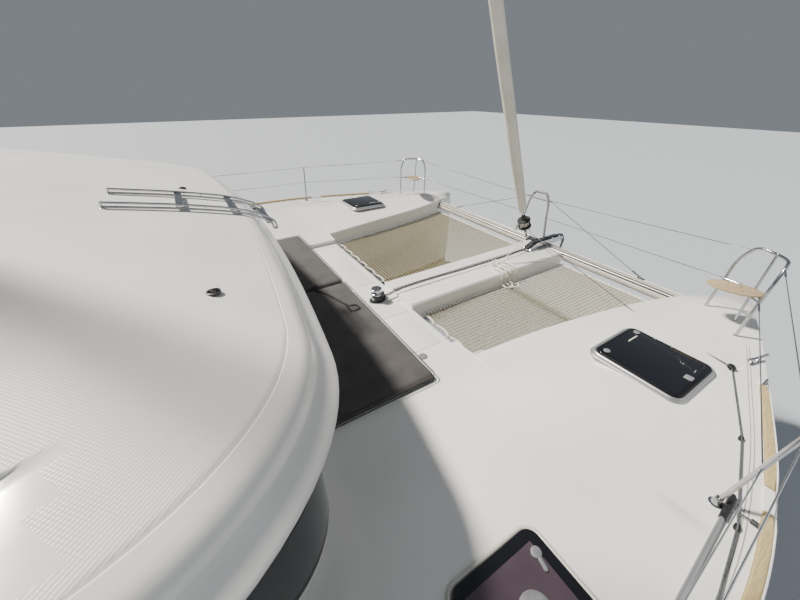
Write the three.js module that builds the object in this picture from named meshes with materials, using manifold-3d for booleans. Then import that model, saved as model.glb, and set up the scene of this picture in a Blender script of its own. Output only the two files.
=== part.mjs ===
// A 12.8 m cruising catamaran, afloat with its sails stowed.
// Millimetres. +X forward, +Y port, +Z up. The origin is amidships on the
// centreline, at the height of the waterline.
import * as THREE from 'three';
import { mergeVertices } from 'three/addons/utils/BufferGeometryUtils.js';
import Module from 'manifold-3d';

const wasm = await Module();
wasm.setup();

// Driving dimensions.
const GAP = 0.3;
const SOLE_Z = 950;
const UNDERSIDE_Z = 800;
const WELL_HALF = 2200;
const BRIDGE_HALF = 1550;
const BRIDGE_FRONT = 3000;
const BRIDGE_AFT = -5300;
const PAD_DECK_Z = 1720;
const LOCKER_Z = 1660;
const SIDE_DECK_Z = 1860;
const CABIN = { front: 1350, aft: -2640, half: 2800, corner: 480, thick: 50, foot: PAD_DECK_Z + GAP, top: 3500 };
const ROOF = {
  front: 1700, aft: -5500, half: 3130, frontCorner: 950, aftCorner: 420, edge: 2740, under: 2500, crown: 175,
  bow: 3e-5, camber: 1.2e-5, tightening: 0.32,
};
const CLIMB = { slope: 0.185, even: 2200, easing: 3000 };
const MAST = { x: -950, halfLength: 130, halfWidth: 85, top: 20500 };
const HOUNDS_Z = 16200;
const BEAM = { x: 5870, z: 1655, halfLength: 95, halfHeight: 80 };
const NET_Z = 1545;
const NET_THICK = 10;
const LONGERON = { port: -120, starboard: -780, top: 1720, bottom: 1480 };
const CHAIN_Y = -410;
const RUDDER = { x: -5550, y: 2885, top: -190, bottom: -1150, stockRadius: 28, stockTop: 0 };
const BEARING = { play: 0.7, sides: 24 };
const PROPELLER = { x: -4760, y: 2890, z: -580 };

// One hull from stern to bow, as sections. y grows outboard.
// x, deck edge outboard, deck edge inboard, height of the inboard edge, centre, half width
// near the water, lowest point, height of the knee under the inboard edge, drop at the bow
const HULL_SECTIONS = [
  [-6400, 3560, 1750, 1720, 2870, 430, 40, 800, 0],
  [-5800, 3640, 1620, 1720, 2880, 520, -80, 800, 0],
  [-5300, 3710, 1550, 1720, 2885, 560, -175, 800, 0],
  [-4000, 3800, 1550, 1720, 2900, 610, -400, 800, 0],
  [-2500, 3860, 1550, 1720, 2900, 640, -580, 800, 0],
  [-500, 3875, 1550, 1720, 2900, 650, -660, 800, 0],
  [1200, 3875, 1550, 1720, 2900, 640, -660, 800, 0],
  [2400, 3875, 1550, 1720, 2890, 600, -630, 800, 0],
  [3000, 3835, 1550, 1720, 2870, 560, -600, 800, 0],
  [3002, 3835, 1800, 1745, 2870, 560, -600, 900, 0],
  [3700, 3690, 1880, 1770, 2850, 500, -570, 1000, 0],
  [4500, 3445, 2010, 1780, 2820, 410, -520, 1120, 0],
  [5200, 3220, 2160, 1780, 2780, 300, -470, 1240, 0],
  [5800, 2990, 2360, 1780, 2740, 180, -420, 1340, 0],
  [6150, 2860, 2520, 1770, 2725, 95, -370, 1400, 20],
  [6340, 2785, 2635, 1765, 2718, 35, -280, 1420, 60],
  [6400, 2760, 2675, 1760, 2717, 12, -60, 1400, 100],
];

const FINISH = {
  gelcoat: { color: 0xdedcd8, roughness: 0.3, metalness: 0 },
  smoked: { color: 0x14161a, roughness: 0.08, metalness: 0 },
  stainless: { color: 0xb9bcc0, roughness: 0.2, metalness: 1 },
  aluminium: { color: 0xc9c9c5, roughness: 0.4, metalness: 0.8 },
  bronze: { color: 0x9a7440, roughness: 0.4, metalness: 1 },
  antifouling: { color: 0x2a3138, roughness: 0.8, metalness: 0 },
  fabric: { color: 0x5a5755, roughness: 0.9, metalness: 0 },
  canvas: { color: 0x2c2e33, roughness: 0.9, metalness: 0 },
  sailcloth: { color: 0xc9c5b4, roughness: 0.7, metalness: 0 },
  netting: { color: 0xd8cfae, roughness: 0.9, metalness: 0 },
  teak: { color: 0xb09a66, roughness: 0.8, metalness: 0 },
  galvanised: { color: 0x8d9091, roughness: 0.5, metalness: 0.8 },
};

const model = new THREE.Group();

// Solids and plain shapes.
function solid(geometry) {
  geometry.deleteAttribute('normal');
  geometry.deleteAttribute('uv');
  const merged = mergeVertices(geometry, 0.001);
  const vertProperties = new Float32Array(merged.attributes.position.array);
  const triVerts = new Uint32Array(merged.index.array);
  return new wasm.Manifold(new wasm.Mesh({ numProp: 3, vertProperties, triVerts }));
}

function add(name, body, finish) {
  const { vertProperties, triVerts } = body.getMesh();
  const geometry = new THREE.BufferGeometry();
  geometry.setAttribute('position', new THREE.BufferAttribute(new Float32Array(vertProperties), 3));
  geometry.setIndex(new THREE.BufferAttribute(new Uint32Array(triVerts), 1));
  geometry.computeVertexNormals();
  const mesh = new THREE.Mesh(geometry, new THREE.MeshStandardMaterial(FINISH[finish]));
  mesh.name = name;
  model.add(mesh);
}

const vector = (p) => new THREE.Vector3(...p);

const union = (bodies) => bodies.reduce((sum, body) => sum.add(body));

const move = (body, x, y, z) => body.translate([x, y, z]);

const mirrored = (body) => body.mirror([0, 1, 0]);

function box([x0, x1], [y0, y1], [z0, z1]) {
  const geometry = new THREE.BoxGeometry(x1 - x0, y1 - y0, z1 - z0);
  return solid(geometry.translate((x0 + x1) / 2, (y0 + y1) / 2, (z0 + z1) / 2));
}

function plate(outline, z0, z1) {
  const shape = new THREE.Shape(outline.map(([x, y]) => new THREE.Vector2(x, y)));
  const geometry = new THREE.ExtrudeGeometry(shape, { depth: z1 - z0, bevelEnabled: false });
  return solid(geometry.translate(0, 0, z0));
}

// A profile in x and z, drawn out from y0 to y1.
function across(outline, y0, y1) {
  const shape = new THREE.Shape(outline.map(([x, z]) => new THREE.Vector2(x, z)));
  const geometry = new THREE.ExtrudeGeometry(shape, { depth: y1 - y0, bevelEnabled: false });
  return solid(geometry.rotateX(Math.PI / 2).translate(0, y1, 0));
}

// A profile in y and z, drawn out from x0 to x1.
function along(outline, x0, x1) {
  const shape = new THREE.Shape(outline.map(([y, z]) => new THREE.Vector2(y, z)));
  const geometry = new THREE.ExtrudeGeometry(shape, { depth: x1 - x0, bevelEnabled: false });
  return solid(geometry.rotateX(Math.PI / 2).rotateZ(Math.PI / 2).translate(x0, 0, 0));
}

function rod(from, to, radius, endRadius = radius, sides = 10) {
  const start = vector(from);
  const end = vector(to);
  const axis = end.clone().sub(start);
  const geometry = new THREE.CylinderGeometry(endRadius, radius, axis.length(), sides);
  const turn = new THREE.Quaternion().setFromUnitVectors(new THREE.Vector3(0, 1, 0), axis.clone().normalize());
  const middle = start.add(end).multiplyScalar(0.5);
  return solid(geometry.applyQuaternion(turn).translate(middle.x, middle.y, middle.z));
}

function bentTube(points, radius, steps = 24, sides = 8) {
  const curve = new THREE.CatmullRomCurve3(points.map(vector), false, 'centripetal');
  const ring = [];
  for (let i = 0; i < sides; i += 1) {
    const angle = (2 * Math.PI * i) / sides;
    ring.push(new THREE.Vector2(radius * Math.cos(angle), radius * Math.sin(angle)));
  }
  const options = { steps, extrudePath: curve, bevelEnabled: false };
  return solid(new THREE.ExtrudeGeometry(new THREE.Shape(ring), options));
}

function ball(centre, radius, scale = [1, 1, 1]) {
  const geometry = new THREE.SphereGeometry(radius, 12, 8).scale(...scale);
  return solid(geometry.translate(...centre));
}

function ellipse(halfA, halfB, sides) {
  const points = [];
  for (let i = 0; i < sides; i += 1) {
    const angle = (2 * Math.PI * i) / sides;
    points.push([halfA * Math.cos(angle), halfB * Math.sin(angle)]);
  }
  return points;
}

const ringArea = (ring) => THREE.ShapeUtils.area(ring);

// Closes a stack of equal rings of points into one solid. flat() gives a point's
// place in the plane that each ring nearly lies in.
function loft(rings, flat) {
  const count = rings[0].length;
  const faces = [];
  for (let r = 0; r + 1 < rings.length; r += 1) {
    for (let i = 0; i < count; i += 1) {
      const a = r * count + i;
      const b = r * count + ((i + 1) % count);
      faces.push([a, b, b + count], [a, b + count, a + count]);
    }
  }
  [0, rings.length - 1].forEach((r, end) => {
    const outline = rings[r].map((p) => new THREE.Vector2(...flat(p)));
    const way = Math.sign(ringArea(outline));
    for (const [i, j, k] of THREE.ShapeUtils.triangulateShape(outline, [])) {
      const same = Math.sign(ringArea([outline[i], outline[j], outline[k]])) === way;
      const face = same === (end === 1) ? [i, j, k] : [k, j, i];
      faces.push(face.map((index) => index + r * count));
    }
  });
  const points = rings.flat().map(vector);
  const volume = faces.reduce((sum, [i, j, k]) => sum + points[i].dot(points[j].clone().cross(points[k])), 0);
  const ordered = volume > 0 ? faces : faces.map(([i, j, k]) => [k, j, i]);
  const vertProperties = new Float32Array(rings.flat().flat());
  const triVerts = new Uint32Array(ordered.flat());
  return new wasm.Manifold(new wasm.Mesh({ numProp: 3, vertProperties, triVerts }));
}

const acrossX = ([, y, z]) => [y, z];
const acrossZ = ([x, y]) => [x, y];

const mix = (a, b, share) => a + (b - a) * share;

function sectionAt(x) {
  const after = HULL_SECTIONS.findIndex((row) => row[0] >= x);
  const right = HULL_SECTIONS[Math.max(after, 1)];
  const left = HULL_SECTIONS[Math.max(after, 1) - 1];
  const share = (x - left[0]) / (right[0] - left[0]);
  return left.map((value, i) => mix(value, right[i], share));
}

// Hulls: decked, with a low keel, stern steps and a well for the cabin and cockpit.
const DECK_EDGE = 14;

function hullRing([x, outer, inner, innerZ, centre, half, keel, knee, drop]) {
  const ring = [
    [x, inner, innerZ - drop],
    [x, mix(inner, outer, 0.18), innerZ + 20 - drop],
    [x, mix(inner, outer, 0.42), SIDE_DECK_Z - 10 - drop],
    [x, outer - DECK_EDGE, SIDE_DECK_Z - drop],
    [x, outer, SIDE_DECK_Z - DECK_EDGE - drop],
    [x, mix(outer, centre + half, 0.25), 700],
  ];
  const bilgeZ = 150;
  const bilgeSteps = 8;
  for (let i = 0; i <= bilgeSteps; i += 1) {
    const angle = (Math.PI * i) / bilgeSteps;
    ring.push([x, centre + half * Math.cos(angle), bilgeZ + (keel - bilgeZ) * Math.sin(angle)]);
  }
  ring.push([x, centre - half - 20, 480]);
  ring.push([x, inner, knee]);
  return ring;
}

function keelRing(z, front, aft, halfThick) {
  const chord = front - aft;
  const half = [0, 0.75, 1, 0.8, 0.45, 0.04];
  const place = [0, 0.08, 0.3, 0.6, 0.82, 1];
  const side = place.map((share, i) => [front - share * chord, half[i] * halfThick]);
  const outline = [...side, ...side.slice(1).reverse().map(([x, y]) => [x, -y])];
  return outline.map(([x, y]) => [x, RUDDER.y + 15 + y, z]);
}

// Deck hatches: name, x aft, x forward, y inboard, y outboard.
const HATCHES = [
  ['fore', 3800, 4440, 2430, 3110],
  ['cabin', 1640, 2210, 3060, 3600],
];
const HATCH_RIM_Z = 1884;
const HATCH_LID_THICK = 22;

function hatchRim([, x0, x1, y0, y1]) {
  const outside = box([x0, x1], [y0, y1], [1700, HATCH_RIM_Z]);
  const inside = box([x0 + 45, x1 - 45], [y0 + 45, y1 - 45], [SIDE_DECK_Z + 2, 2000]);
  return { outside, inside };
}

function makeHull() {
  let hull = loft(HULL_SECTIONS.map(hullRing), acrossX);
  const keel = loft([keelRing(-500, 1500, -1700, 150), keelRing(-1250, 1200, -1450, 95)], acrossZ);
  hull = hull.add(keel);
  const sweep = [[-4500, 2100], [-4500, SIDE_DECK_Z + 1], [-5300, 1420], [-6450, 620], [-7000, 620], [-7000, 2100]];
  hull = hull.subtract(across(sweep, 0, 4500));
  const steps = [[-4500, 1500], [-4780, 1150], [-5060, 800], [-5340, 450]];
  for (const [front, height] of steps) {
    hull = hull.subtract(box([-7000, front], [1000, 3430], [height, 2500]));
  }
  hull = hull.subtract(box([-4990, CABIN.aft + 40], [1000, WELL_HALF], [SOLE_Z, 2500]));
  hull = hull.subtract(box([CABIN.aft + 39, CABIN.front - 70], [1000, WELL_HALF], [SOLE_Z, 2500]));
  for (const hatch of HATCHES) {
    const { outside, inside } = hatchRim(hatch);
    hull = hull.add(outside).subtract(inside);
  }
  const boreRadius = RUDDER.stockRadius + BEARING.play;
  const boreTop = [RUDDER.x, RUDDER.y, RUDDER.stockTop + BEARING.play];
  return hull.subtract(rod([RUDDER.x, RUDDER.y, RUDDER.top], boreTop, boreRadius, boreRadius, BEARING.sides));
}

const hullPort = makeHull();
const hullStarboard = mirrored(hullPort);
add('hull_port', hullPort, 'gelcoat');
add('hull_starboard', hullStarboard, 'gelcoat');

// Hatch lids, in the same frame for both sides.
for (const [name, x0, x1, y0, y1] of HATCHES) {
  const lid = box([x0 + 12, x1 - 12], [y0 + 12, y1 - 12], [HATCH_RIM_Z + GAP, HATCH_RIM_Z + HATCH_LID_THICK]);
  add(`${name}_hatch_port`, lid, 'smoked');
  add(`${name}_hatch_starboard`, mirrored(lid), 'smoked');
}

// Bridge deck: saloon and cockpit sole, the sunbathing step and the foredeck lockers.
const LOCKERS = { aft: 2570, front: 2910, port: [30, 1410], starboard: [-1410, -800] };
const LOCKER_REBATE = 22;
const LOCKER_LID = 28;
const SUN_STEP_FRONT = 2530;

function makeBridgeDeck() {
  const front = BRIDGE_FRONT - GAP;
  const profile = [
    [BRIDGE_AFT, UNDERSIDE_Z], [2500, UNDERSIDE_Z], [front - 120, 1200], [front, 1420], [front, LOCKER_Z],
    [SUN_STEP_FRONT + 14, LOCKER_Z], [SUN_STEP_FRONT, PAD_DECK_Z], [CABIN.front - 70, PAD_DECK_Z],
    [CABIN.front - 70, SOLE_Z], [BRIDGE_AFT, SOLE_Z],
  ];
  let deck = across(profile, -BRIDGE_HALF + GAP, BRIDGE_HALF - GAP);
  for (const [y0, y1] of [LOCKERS.port, LOCKERS.starboard]) {
    const rebateZ = LOCKER_Z - LOCKER_LID - GAP;
    deck = deck.subtract(box([LOCKERS.aft, LOCKERS.front], [y0, y1], [1300, 1700]));
    const rebate = [LOCKERS.aft - LOCKER_REBATE, LOCKERS.front + LOCKER_REBATE];
    deck = deck.subtract(box(rebate, [y0 - LOCKER_REBATE, y1 + LOCKER_REBATE], [rebateZ, 1700]));
  }
  return deck;
}

const bridgeDeck = makeBridgeDeck();
add('bridge_deck', bridgeDeck, 'gelcoat');

for (const side of ['port', 'starboard']) {
  const reach = LOCKER_REBATE - 6;
  const [y0, y1] = LOCKERS[side];
  const lid = box([LOCKERS.aft - reach, LOCKERS.front + reach], [y0 - reach, y1 + reach], [LOCKER_Z - LOCKER_LID, LOCKER_Z]);
  add(`locker_lid_${side}`, lid, 'gelcoat');
}

// A rectangle with rounded corners; between is the number of extra points on each straight side.
function roundedOutline(front, aft, half, frontCorner, aftCorner, between = 0) {
  const steps = 8;
  const corners = [
    [front, half, frontCorner, 0, 1, 1],
    [aft, half, aftCorner, 90, -1, 1],
    [aft, -half, aftCorner, 180, -1, -1],
    [front, -half, frontCorner, 270, 1, -1],
  ];
  const arcs = corners.map(([x, y, radius, startDegrees, signX, signY]) => {
    const arc = [];
    for (let i = 0; i <= steps; i += 1) {
      const angle = ((startDegrees + (90 * i) / steps) * Math.PI) / 180;
      arc.push([x - signX * radius + radius * Math.cos(angle), y - signY * radius + radius * Math.sin(angle)]);
    }
    return arc;
  });
  return arcs.flatMap((arc, corner) => {
    const [fromX, fromY] = arc[steps];
    const [toX, toY] = arcs[(corner + 1) % arcs.length][0];
    const straight = [];
    for (let i = 1; i <= between; i += 1) {
      const share = i / (between + 1);
      straight.push([mix(fromX, toX, share), mix(fromY, toY, share)]);
    }
    return [...arc, ...straight];
  });
}

// The roof climbs aft from its front edge at an even slope, then levels out.
function roofLift(x) {
  const run = Math.max(ROOF.front - x, 0);
  const eased = Math.min(Math.max(run - CLIMB.even, 0), CLIMB.easing);
  return CLIMB.slope * (Math.min(run, CLIMB.even) + eased - (eased * eased) / (2 * CLIMB.easing));
}

const roofTopZ = (x) => ROOF.edge + ROOF.crown + roofLift(x);

// The underside, as a line in x and z, lowered by drop.
const UNDERSIDE_X = [3000, ROOF.front, -500, -1100, -1700, -2300, -2900, -3500, -7000];
const undersideLine = (drop) => UNDERSIDE_X.map((x) => [x, ROOF.under + roofLift(x) - drop]);
const belowRoof = across([...undersideLine(0), [-7000, 1500], [3000, 1500]], -5000, 5000);
const sky = across([...undersideLine(GAP), [-7000, 6000], [3000, 6000]], -5000, 5000);

// Roof, as a stack of rounded outlines: height from the widest one, inset from it. The widest is
// the rim of a narrow lip, which rises to a crease at the foot of the domed shoulder.
const ROOF_LEVELS = [
  [-300, 190], [-120, 60], [-20, 6], [0, 0], [34, 46], [62, 80], [92, 90], [124, 116], [142, 170], [152, 270],
  [166, 500], [ROOF.crown, 1300], [ROOF.crown, 2100], [ROOF.crown, 2950],
];

function makeRoof() {
  const rings = ROOF_LEVELS.map(([height, inset]) => {
    const corner = (radius) => Math.max(radius - inset * ROOF.tightening, 60);
    const sides = [ROOF.front - inset, ROOF.aft + inset, ROOF.half - inset];
    const outline = roundedOutline(...sides, corner(ROOF.frontCorner), corner(ROOF.aftCorner), 6);
    return outline.map(([x, y]) => {
      const forward = (x - ROOF.aft) / (ROOF.front - ROOF.aft);
      const bowed = x - ROOF.bow * y * y * forward;
      return [bowed, y, ROOF.edge + height + roofLift(bowed) - ROOF.camber * y * y];
    });
  });
  return loft(rings, acrossZ).subtract(belowRoof);
}

const roof = makeRoof();
add('roof', roof, 'gelcoat');

// Sets a piece down on what carries it, with the usual gap.
function seated(body, carriers) {
  return carriers.reduce((rest, carrier) => rest.subtract(move(carrier, 0, 0, GAP)), body);
}

// Cuts a wall or post off just under the roof.
const hung = (body) => body.subtract(sky);

const hullsAndBridge = [hullPort, hullStarboard, bridgeDeck];

// Cabin walls: one moulding around front and sides, with window openings.
function cabinBand(outerInset, innerInset, z0, z1) {
  const line = (inset) => {
    const full = roundedOutline(CABIN.front - inset, CABIN.aft - 3000, CABIN.half - inset, CABIN.corner - inset, 100);
    const portCorner = full.slice(0, 9);
    const starboardCorner = full.slice(27, 36);
    return [[CABIN.aft, -(CABIN.half - inset)], ...starboardCorner, ...portCorner, [CABIN.aft, CABIN.half - inset]];
  };
  return plate([...line(outerInset), ...line(innerInset).reverse()], z0, z1);
}

// Windows: name, x range, y range, sill height aft and forward, head height aft and forward.
// All are mirrored to starboard.
const WINDOWS = [
  ['front', [1000, 1500], [50, 1180], [1990, 1990], [2440, 2440]],
  ['corner', [760, 1500], [1280, 2900], [1990, 1990], [2440, 2440]],
  ['side', [-2250, 640], [2600, 2900], [2330, 2060], [2780, 2470]],
];

function windowBlock([, x, y, sill, head], gap = 0) {
  const lower = [[x[0] + gap, sill[0] + gap], [x[1] - gap, sill[1] + gap]];
  const upper = [[x[1] - gap, head[1] - gap], [x[0] + gap, head[0] - gap]];
  return across([...lower, ...upper], y[0] + gap, y[1] - gap);
}

function makeCabinWall() {
  let wall = cabinBand(0, CABIN.thick, CABIN.foot, CABIN.top);
  wall = hung(seated(wall, hullsAndBridge));
  for (const row of WINDOWS) {
    const opening = windowBlock(row);
    wall = wall.subtract(opening).subtract(mirrored(opening));
  }
  return wall;
}

add('cabin_wall', makeCabinWall(), 'gelcoat');

for (const row of WINDOWS) {
  const pane = cabinBand(14, 26, 1900, 2900).intersect(windowBlock(row, GAP));
  add(`${row[0]}_window_port`, pane, 'smoked');
  add(`${row[0]}_window_starboard`, mirrored(pane), 'smoked');
}

// Aft bulkhead with the galley window, and the sliding door outside it.
const DOOR = { y0: -1170, y1: -30, z0: 965.3, z1: 2790, thick: 36 };
const BULKHEAD_THICK = 45;

function makeBulkhead() {
  const half = CABIN.half - CABIN.thick - GAP;
  let wall = box([CABIN.aft, CABIN.aft + BULKHEAD_THICK], [-half, half], [SOLE_Z + GAP, CABIN.top]);
  wall = wall.subtract(box([-3000, -2500], [-1120, -80], [966, 2760]));
  wall = wall.subtract(box([-3000, -2500], [150, 1350], [1850, 2700]));
  const sill = box([CABIN.aft - 50, CABIN.aft + 1], [-2185, 0], [SOLE_Z + GAP, DOOR.z0 - GAP]);
  const head = box([CABIN.aft - 50, CABIN.aft + 1], [-2185, 0], [DOOR.z1 + 5, 2850]);
  return hung(seated(wall.add(sill).add(head), hullsAndBridge));
}

add('aft_bulkhead', makeBulkhead(), 'gelcoat');

const doorX = [CABIN.aft - 6 - DOOR.thick, CABIN.aft - 6];
add('saloon_door', box(doorX, [DOOR.y0, DOOR.y1], [DOOR.z0, DOOR.z1]), 'smoked');
const galleyPane = box([CABIN.aft + 15, CABIN.aft + 25], [150 + GAP, 1350 - GAP], [1850 + GAP, 2700 - GAP]);
add('galley_window', galleyPane, 'smoked');

// Saloon furniture.
const saloonFloor = SOLE_Z + GAP;
const settee = union([
  box([-200, 1270], [300, 2190], [saloonFloor, 1380]),
  box([1130, 1270], [300, 2190], [1379, 1700]),
]);
add('saloon_settee', settee, 'fabric');
const galley = union([
  box([-2500, -1900], [-100, 2190], [saloonFloor, 1800]),
  box([-1901, -500], [1600, 2190], [saloonFloor, 1800]),
]);
add('galley_counter', galley, 'gelcoat');

// Cockpit: an aft bench and a table.
const benchProfile = [
  [BRIDGE_AFT, SOLE_Z + GAP], [BRIDGE_AFT, 1780], [BRIDGE_AFT + 120, 1780], [BRIDGE_AFT + 160, 1400],
  [-4680, 1400], [-4640, SOLE_Z + GAP],
];
add('cockpit_bench', across(benchProfile, -1500, 1000), 'gelcoat');
const tableTop = box([-4200, -3300], [-300, 1100], [1640, 1680]);
const tableLeg = box([-3850, -3650], [300, 500], [SOLE_Z + GAP, 1641]);
add('cockpit_table', tableTop.add(tableLeg), 'gelcoat');

// Roof posts at the cockpit.
for (const side of [1, -1]) {
  const outline = ellipse(75, 45, 16).map(([x, y]) => [x - 4400, y + side * 2500]);
  const post = hung(seated(plate(outline, 1700, CABIN.top), hullsAndBridge));
  add(side > 0 ? 'roof_post_port' : 'roof_post_starboard', post, 'gelcoat');
}

// Sun cushion on its step, ahead of the cabin.
const SUN_PAD = { aft: 1400, front: 2525, half: 1885, top: 1806 };
const sunPadOutline = roundedOutline(SUN_PAD.front, SUN_PAD.aft, SUN_PAD.half, 60, 30);
let sunPad = plate(sunPadOutline, PAD_DECK_Z + GAP, SUN_PAD.top);
sunPad = seated(sunPad, hullsAndBridge);
add('sun_cushion', sunPad, 'fabric');

// Roof ladder: on each side an upper and a lower tube joined at both ends, with treads between.
const LADDER = { y: -125, halfWidth: 225, tube: 9, aft: 620 };
const LADDER_UPPER = [
  [LADDER.aft, roofTopZ(LADDER.aft) + 41], [1060, roofTopZ(1060) + 41], [1250, 3033], [1450, 2982],
  [1600, 2925], [1700, 2870], [1758, 2815], [1770, 2756],
];
const LADDER_LOWER = [
  [LADDER.aft, roofTopZ(LADDER.aft) + 11], [1060, roofTopZ(1060) + 11], [1250, 3003], [1450, 2952],
  [1600, 2897], [1690, 2842], [1732, 2800], [1740, 2756],
];

// Treads: middle x, middle height.
const TREADS = [[1080, roofTopZ(1080) + 28], [1450, 2967], [1716, 2818]];

function makeRoofLadder() {
  const pieces = [];
  for (const side of [-1, 1]) {
    const y = LADDER.y + side * LADDER.halfWidth;
    const at = ([x, z]) => [x, y, z];
    const paths = [LADDER_UPPER, LADDER_LOWER];
    pieces.push(...paths.map((path) => bentTube(path.map(at), LADDER.tube, 14, 6)));
    const [upperZ, foot] = [LADDER_UPPER[0][1] + LADDER.tube, roofTopZ(LADDER.aft) - 30];
    pieces.push(rod([LADDER.aft, y, upperZ], [LADDER.aft, y, foot], LADDER.tube, LADDER.tube, 8));
    const [upperEnd, lowerEnd] = paths.map((path) => path[path.length - 1]);
    const ahead = [upperEnd[0] + LADDER.tube, upperEnd[1]];
    const behind = [lowerEnd[0] - LADDER.tube, lowerEnd[1]];
    pieces.push(rod(at(ahead), at(behind), LADDER.tube, LADDER.tube, 8));
    pieces.push(rod([1250, y, 2960], [1250, y, 3036], 7, 7, 8));
  }
  for (const [x, z] of TREADS) {
    pieces.push(box([x - 28, x + 28], [LADDER.y - LADDER.halfWidth, LADDER.y + LADDER.halfWidth], [z - 11, z + 11]));
  }
  return union(pieces).subtract(move(roof, 0, 0, GAP)).subtract(move(roof, GAP, 0, 0));
}

add('roof_ladder', makeRoofLadder(), 'stainless');

// Flybridge seat and helm console, each one moulding on the roof.
const FLY_FLOOR = roofTopZ(-2600);
const flyProfile = (outline) => outline.map(([x, height]) => [x, FLY_FLOOR + height]);
const consoleProfile = flyProfile([
  [-2150, -160], [-2150, 700], [-2040, 880], [-1980, 880], [-1800, 450], [-1780, -160],
]);
const helmConsole = seated(across(consoleProfile, 350, 1250), [roof]);
add('helm_console', helmConsole, 'gelcoat');
const seatProfile = flyProfile([
  [-3900, -160], [-3900, 900], [-3780, 900], [-3720, 420], [-3160, 420], [-3130, -160],
]);
const seatBack = across(seatProfile, -1400, 1400);
add('flybridge_seat', seated(seatBack, [roof]), 'gelcoat');

const WHEEL = { x: -2250, y: 800, z: 4150, radius: 330 };

function makeWheel() {
  const rim = solid(new THREE.TorusGeometry(WHEEL.radius, 14, 8, 28).rotateY(Math.PI / 2));
  const pieces = [rim, rod([-30, 0, 0], [99.7, 0, 0], 30)];
  for (let i = 0; i < 5; i += 1) {
    const angle = (2 * Math.PI * i) / 5;
    const reach = WHEEL.radius - 4;
    pieces.push(rod([0, 0, 0], [0, reach * Math.cos(angle), reach * Math.sin(angle)], 8, 8, 6));
  }
  return move(union(pieces), WHEEL.x, WHEEL.y, WHEEL.z);
}

add('helm_wheel', makeWheel(), 'stainless');

// Mast with its foot, spreaders and gooseneck.
const BOOM = { pinX: -1180, z: 5500, aft: -6380, halfHeight: 95, halfWidth: 75 };
const SPREADER = { z: 9900, tipX: -1500, tipY: 1800 };

function makeMast() {
  const stepZ = roofTopZ(MAST.x);
  const section = ellipse(MAST.halfLength, MAST.halfWidth, 20).map(([x, y]) => [x + MAST.x, y]);
  const tube = plate(section, stepZ - 200, MAST.top);
  const foot = box([MAST.x - 190, MAST.x + 190], [-150, 150], [stepZ - 200, stepZ + 60]);
  const crane = box([MAST.x - 260, MAST.x + 120], [-40, 40], [MAST.top - 60, MAST.top + 40]);
  const pieces = [tube, foot, crane];
  for (const side of [-1, 1]) {
    pieces.push(rod([MAST.x, 0, SPREADER.z - 40], [SPREADER.tipX, side * SPREADER.tipY, SPREADER.z], 45, 22, 8));
  }
  for (const z of [BOOM.z - 105, BOOM.z + 90]) {
    pieces.push(box([BOOM.pinX - 35, MAST.x], [-32, 32], [z, z + 15]));
  }
  pieces.push(rod([BOOM.pinX, 0, BOOM.z - 95], [BOOM.pinX, 0, BOOM.z + 95], 12, 12, 12));
  return seated(union(pieces), [roof]);
}

const mast = makeMast();
add('mast', mast, 'aluminium');

function makeBoom() {
  const section = ellipse(BOOM.halfWidth, BOOM.halfHeight, 14).map(([y, z]) => [y, z + BOOM.z]);
  const spar = along(section, BOOM.aft, BOOM.pinX - 60);
  const nose = box([BOOM.pinX - 70, BOOM.pinX], [-22, 22], [BOOM.z - 60, BOOM.z + 60]);
  const eye = rod([BOOM.pinX, 0, BOOM.z - 60], [BOOM.pinX, 0, BOOM.z + 60], 28, 28, 16);
  const bore = rod([BOOM.pinX, 0, BOOM.z - 200], [BOOM.pinX, 0, BOOM.z + 200], 13, 13, 16);
  return spar.add(nose).add(eye).subtract(bore);
}

add('boom', makeBoom(), 'aluminium');

// Stowed mainsail in its bag along the boom, deeper at the mast.
function bagRing(x, halfWidth, height) {
  const base = BOOM.z + 60;
  const shares = [[-0.5, 0], [0.5, 0], [1, 0.25], [1, 0.6], [0.6, 0.9], [0, 1], [-0.6, 0.9], [-1, 0.6], [-1, 0.25]];
  return shares.map(([side, up]) => [x, side * halfWidth, base + up * height]);
}

const bagStations = [[-6250, 110, 300], [-4800, 150, 430], [-3000, 175, 560], [-1350, 165, 700]];
const bag = loft(bagStations.map((row) => bagRing(...row)), acrossX);
const boomBody = along(ellipse(BOOM.halfWidth + GAP, BOOM.halfHeight + GAP, 14).map(([y, z]) => [y, z + BOOM.z]), -6500, -1200);
add('sail_bag', bag.subtract(boomBody), 'canvas');

// Cap shrouds, from the side deck over the spreader tip to the mast.
const CHAINPLATE = { x: -1900, y: 3620 };

function makeShroud() {
  const low = [CHAINPLATE.x, CHAINPLATE.y, SIDE_DECK_Z - 30];
  const turn = [SPREADER.tipX, SPREADER.tipY + 30, SPREADER.z];
  const top = [MAST.x, 20, HOUNDS_Z + 250];
  const screwShare = 0.06;
  const screwTop = low.map((value, i) => mix(value, turn[i], screwShare));
  const wire = union([rod(low, turn, 7, 7, 8), ball(turn, 10), rod(turn, top, 7, 7, 8), rod(low, screwTop, 16, 16, 8)]);
  return seated(wire, [hullPort]).subtract(move(mast, 0, GAP, 0)).subtract(mast);
}

const shroud = makeShroud();
add('shroud_port', shroud, 'stainless');
add('shroud_starboard', mirrored(shroud), 'stainless');

// Crossbeam between the bows, and the longeron from the foredeck to it.
const beamSection = ellipse(BEAM.halfLength, BEAM.halfHeight, 20).map(([x, z]) => [x + BEAM.x, z + BEAM.z]);
let crossbeam = across(beamSection, -2650, 2650);
for (const hull of [hullPort, hullStarboard]) {
  const inboard = hull === hullPort ? -GAP : GAP;
  crossbeam = crossbeam.subtract(hull).subtract(move(hull, 0, inboard, 0));
}
add('crossbeam', crossbeam, 'aluminium');

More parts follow.
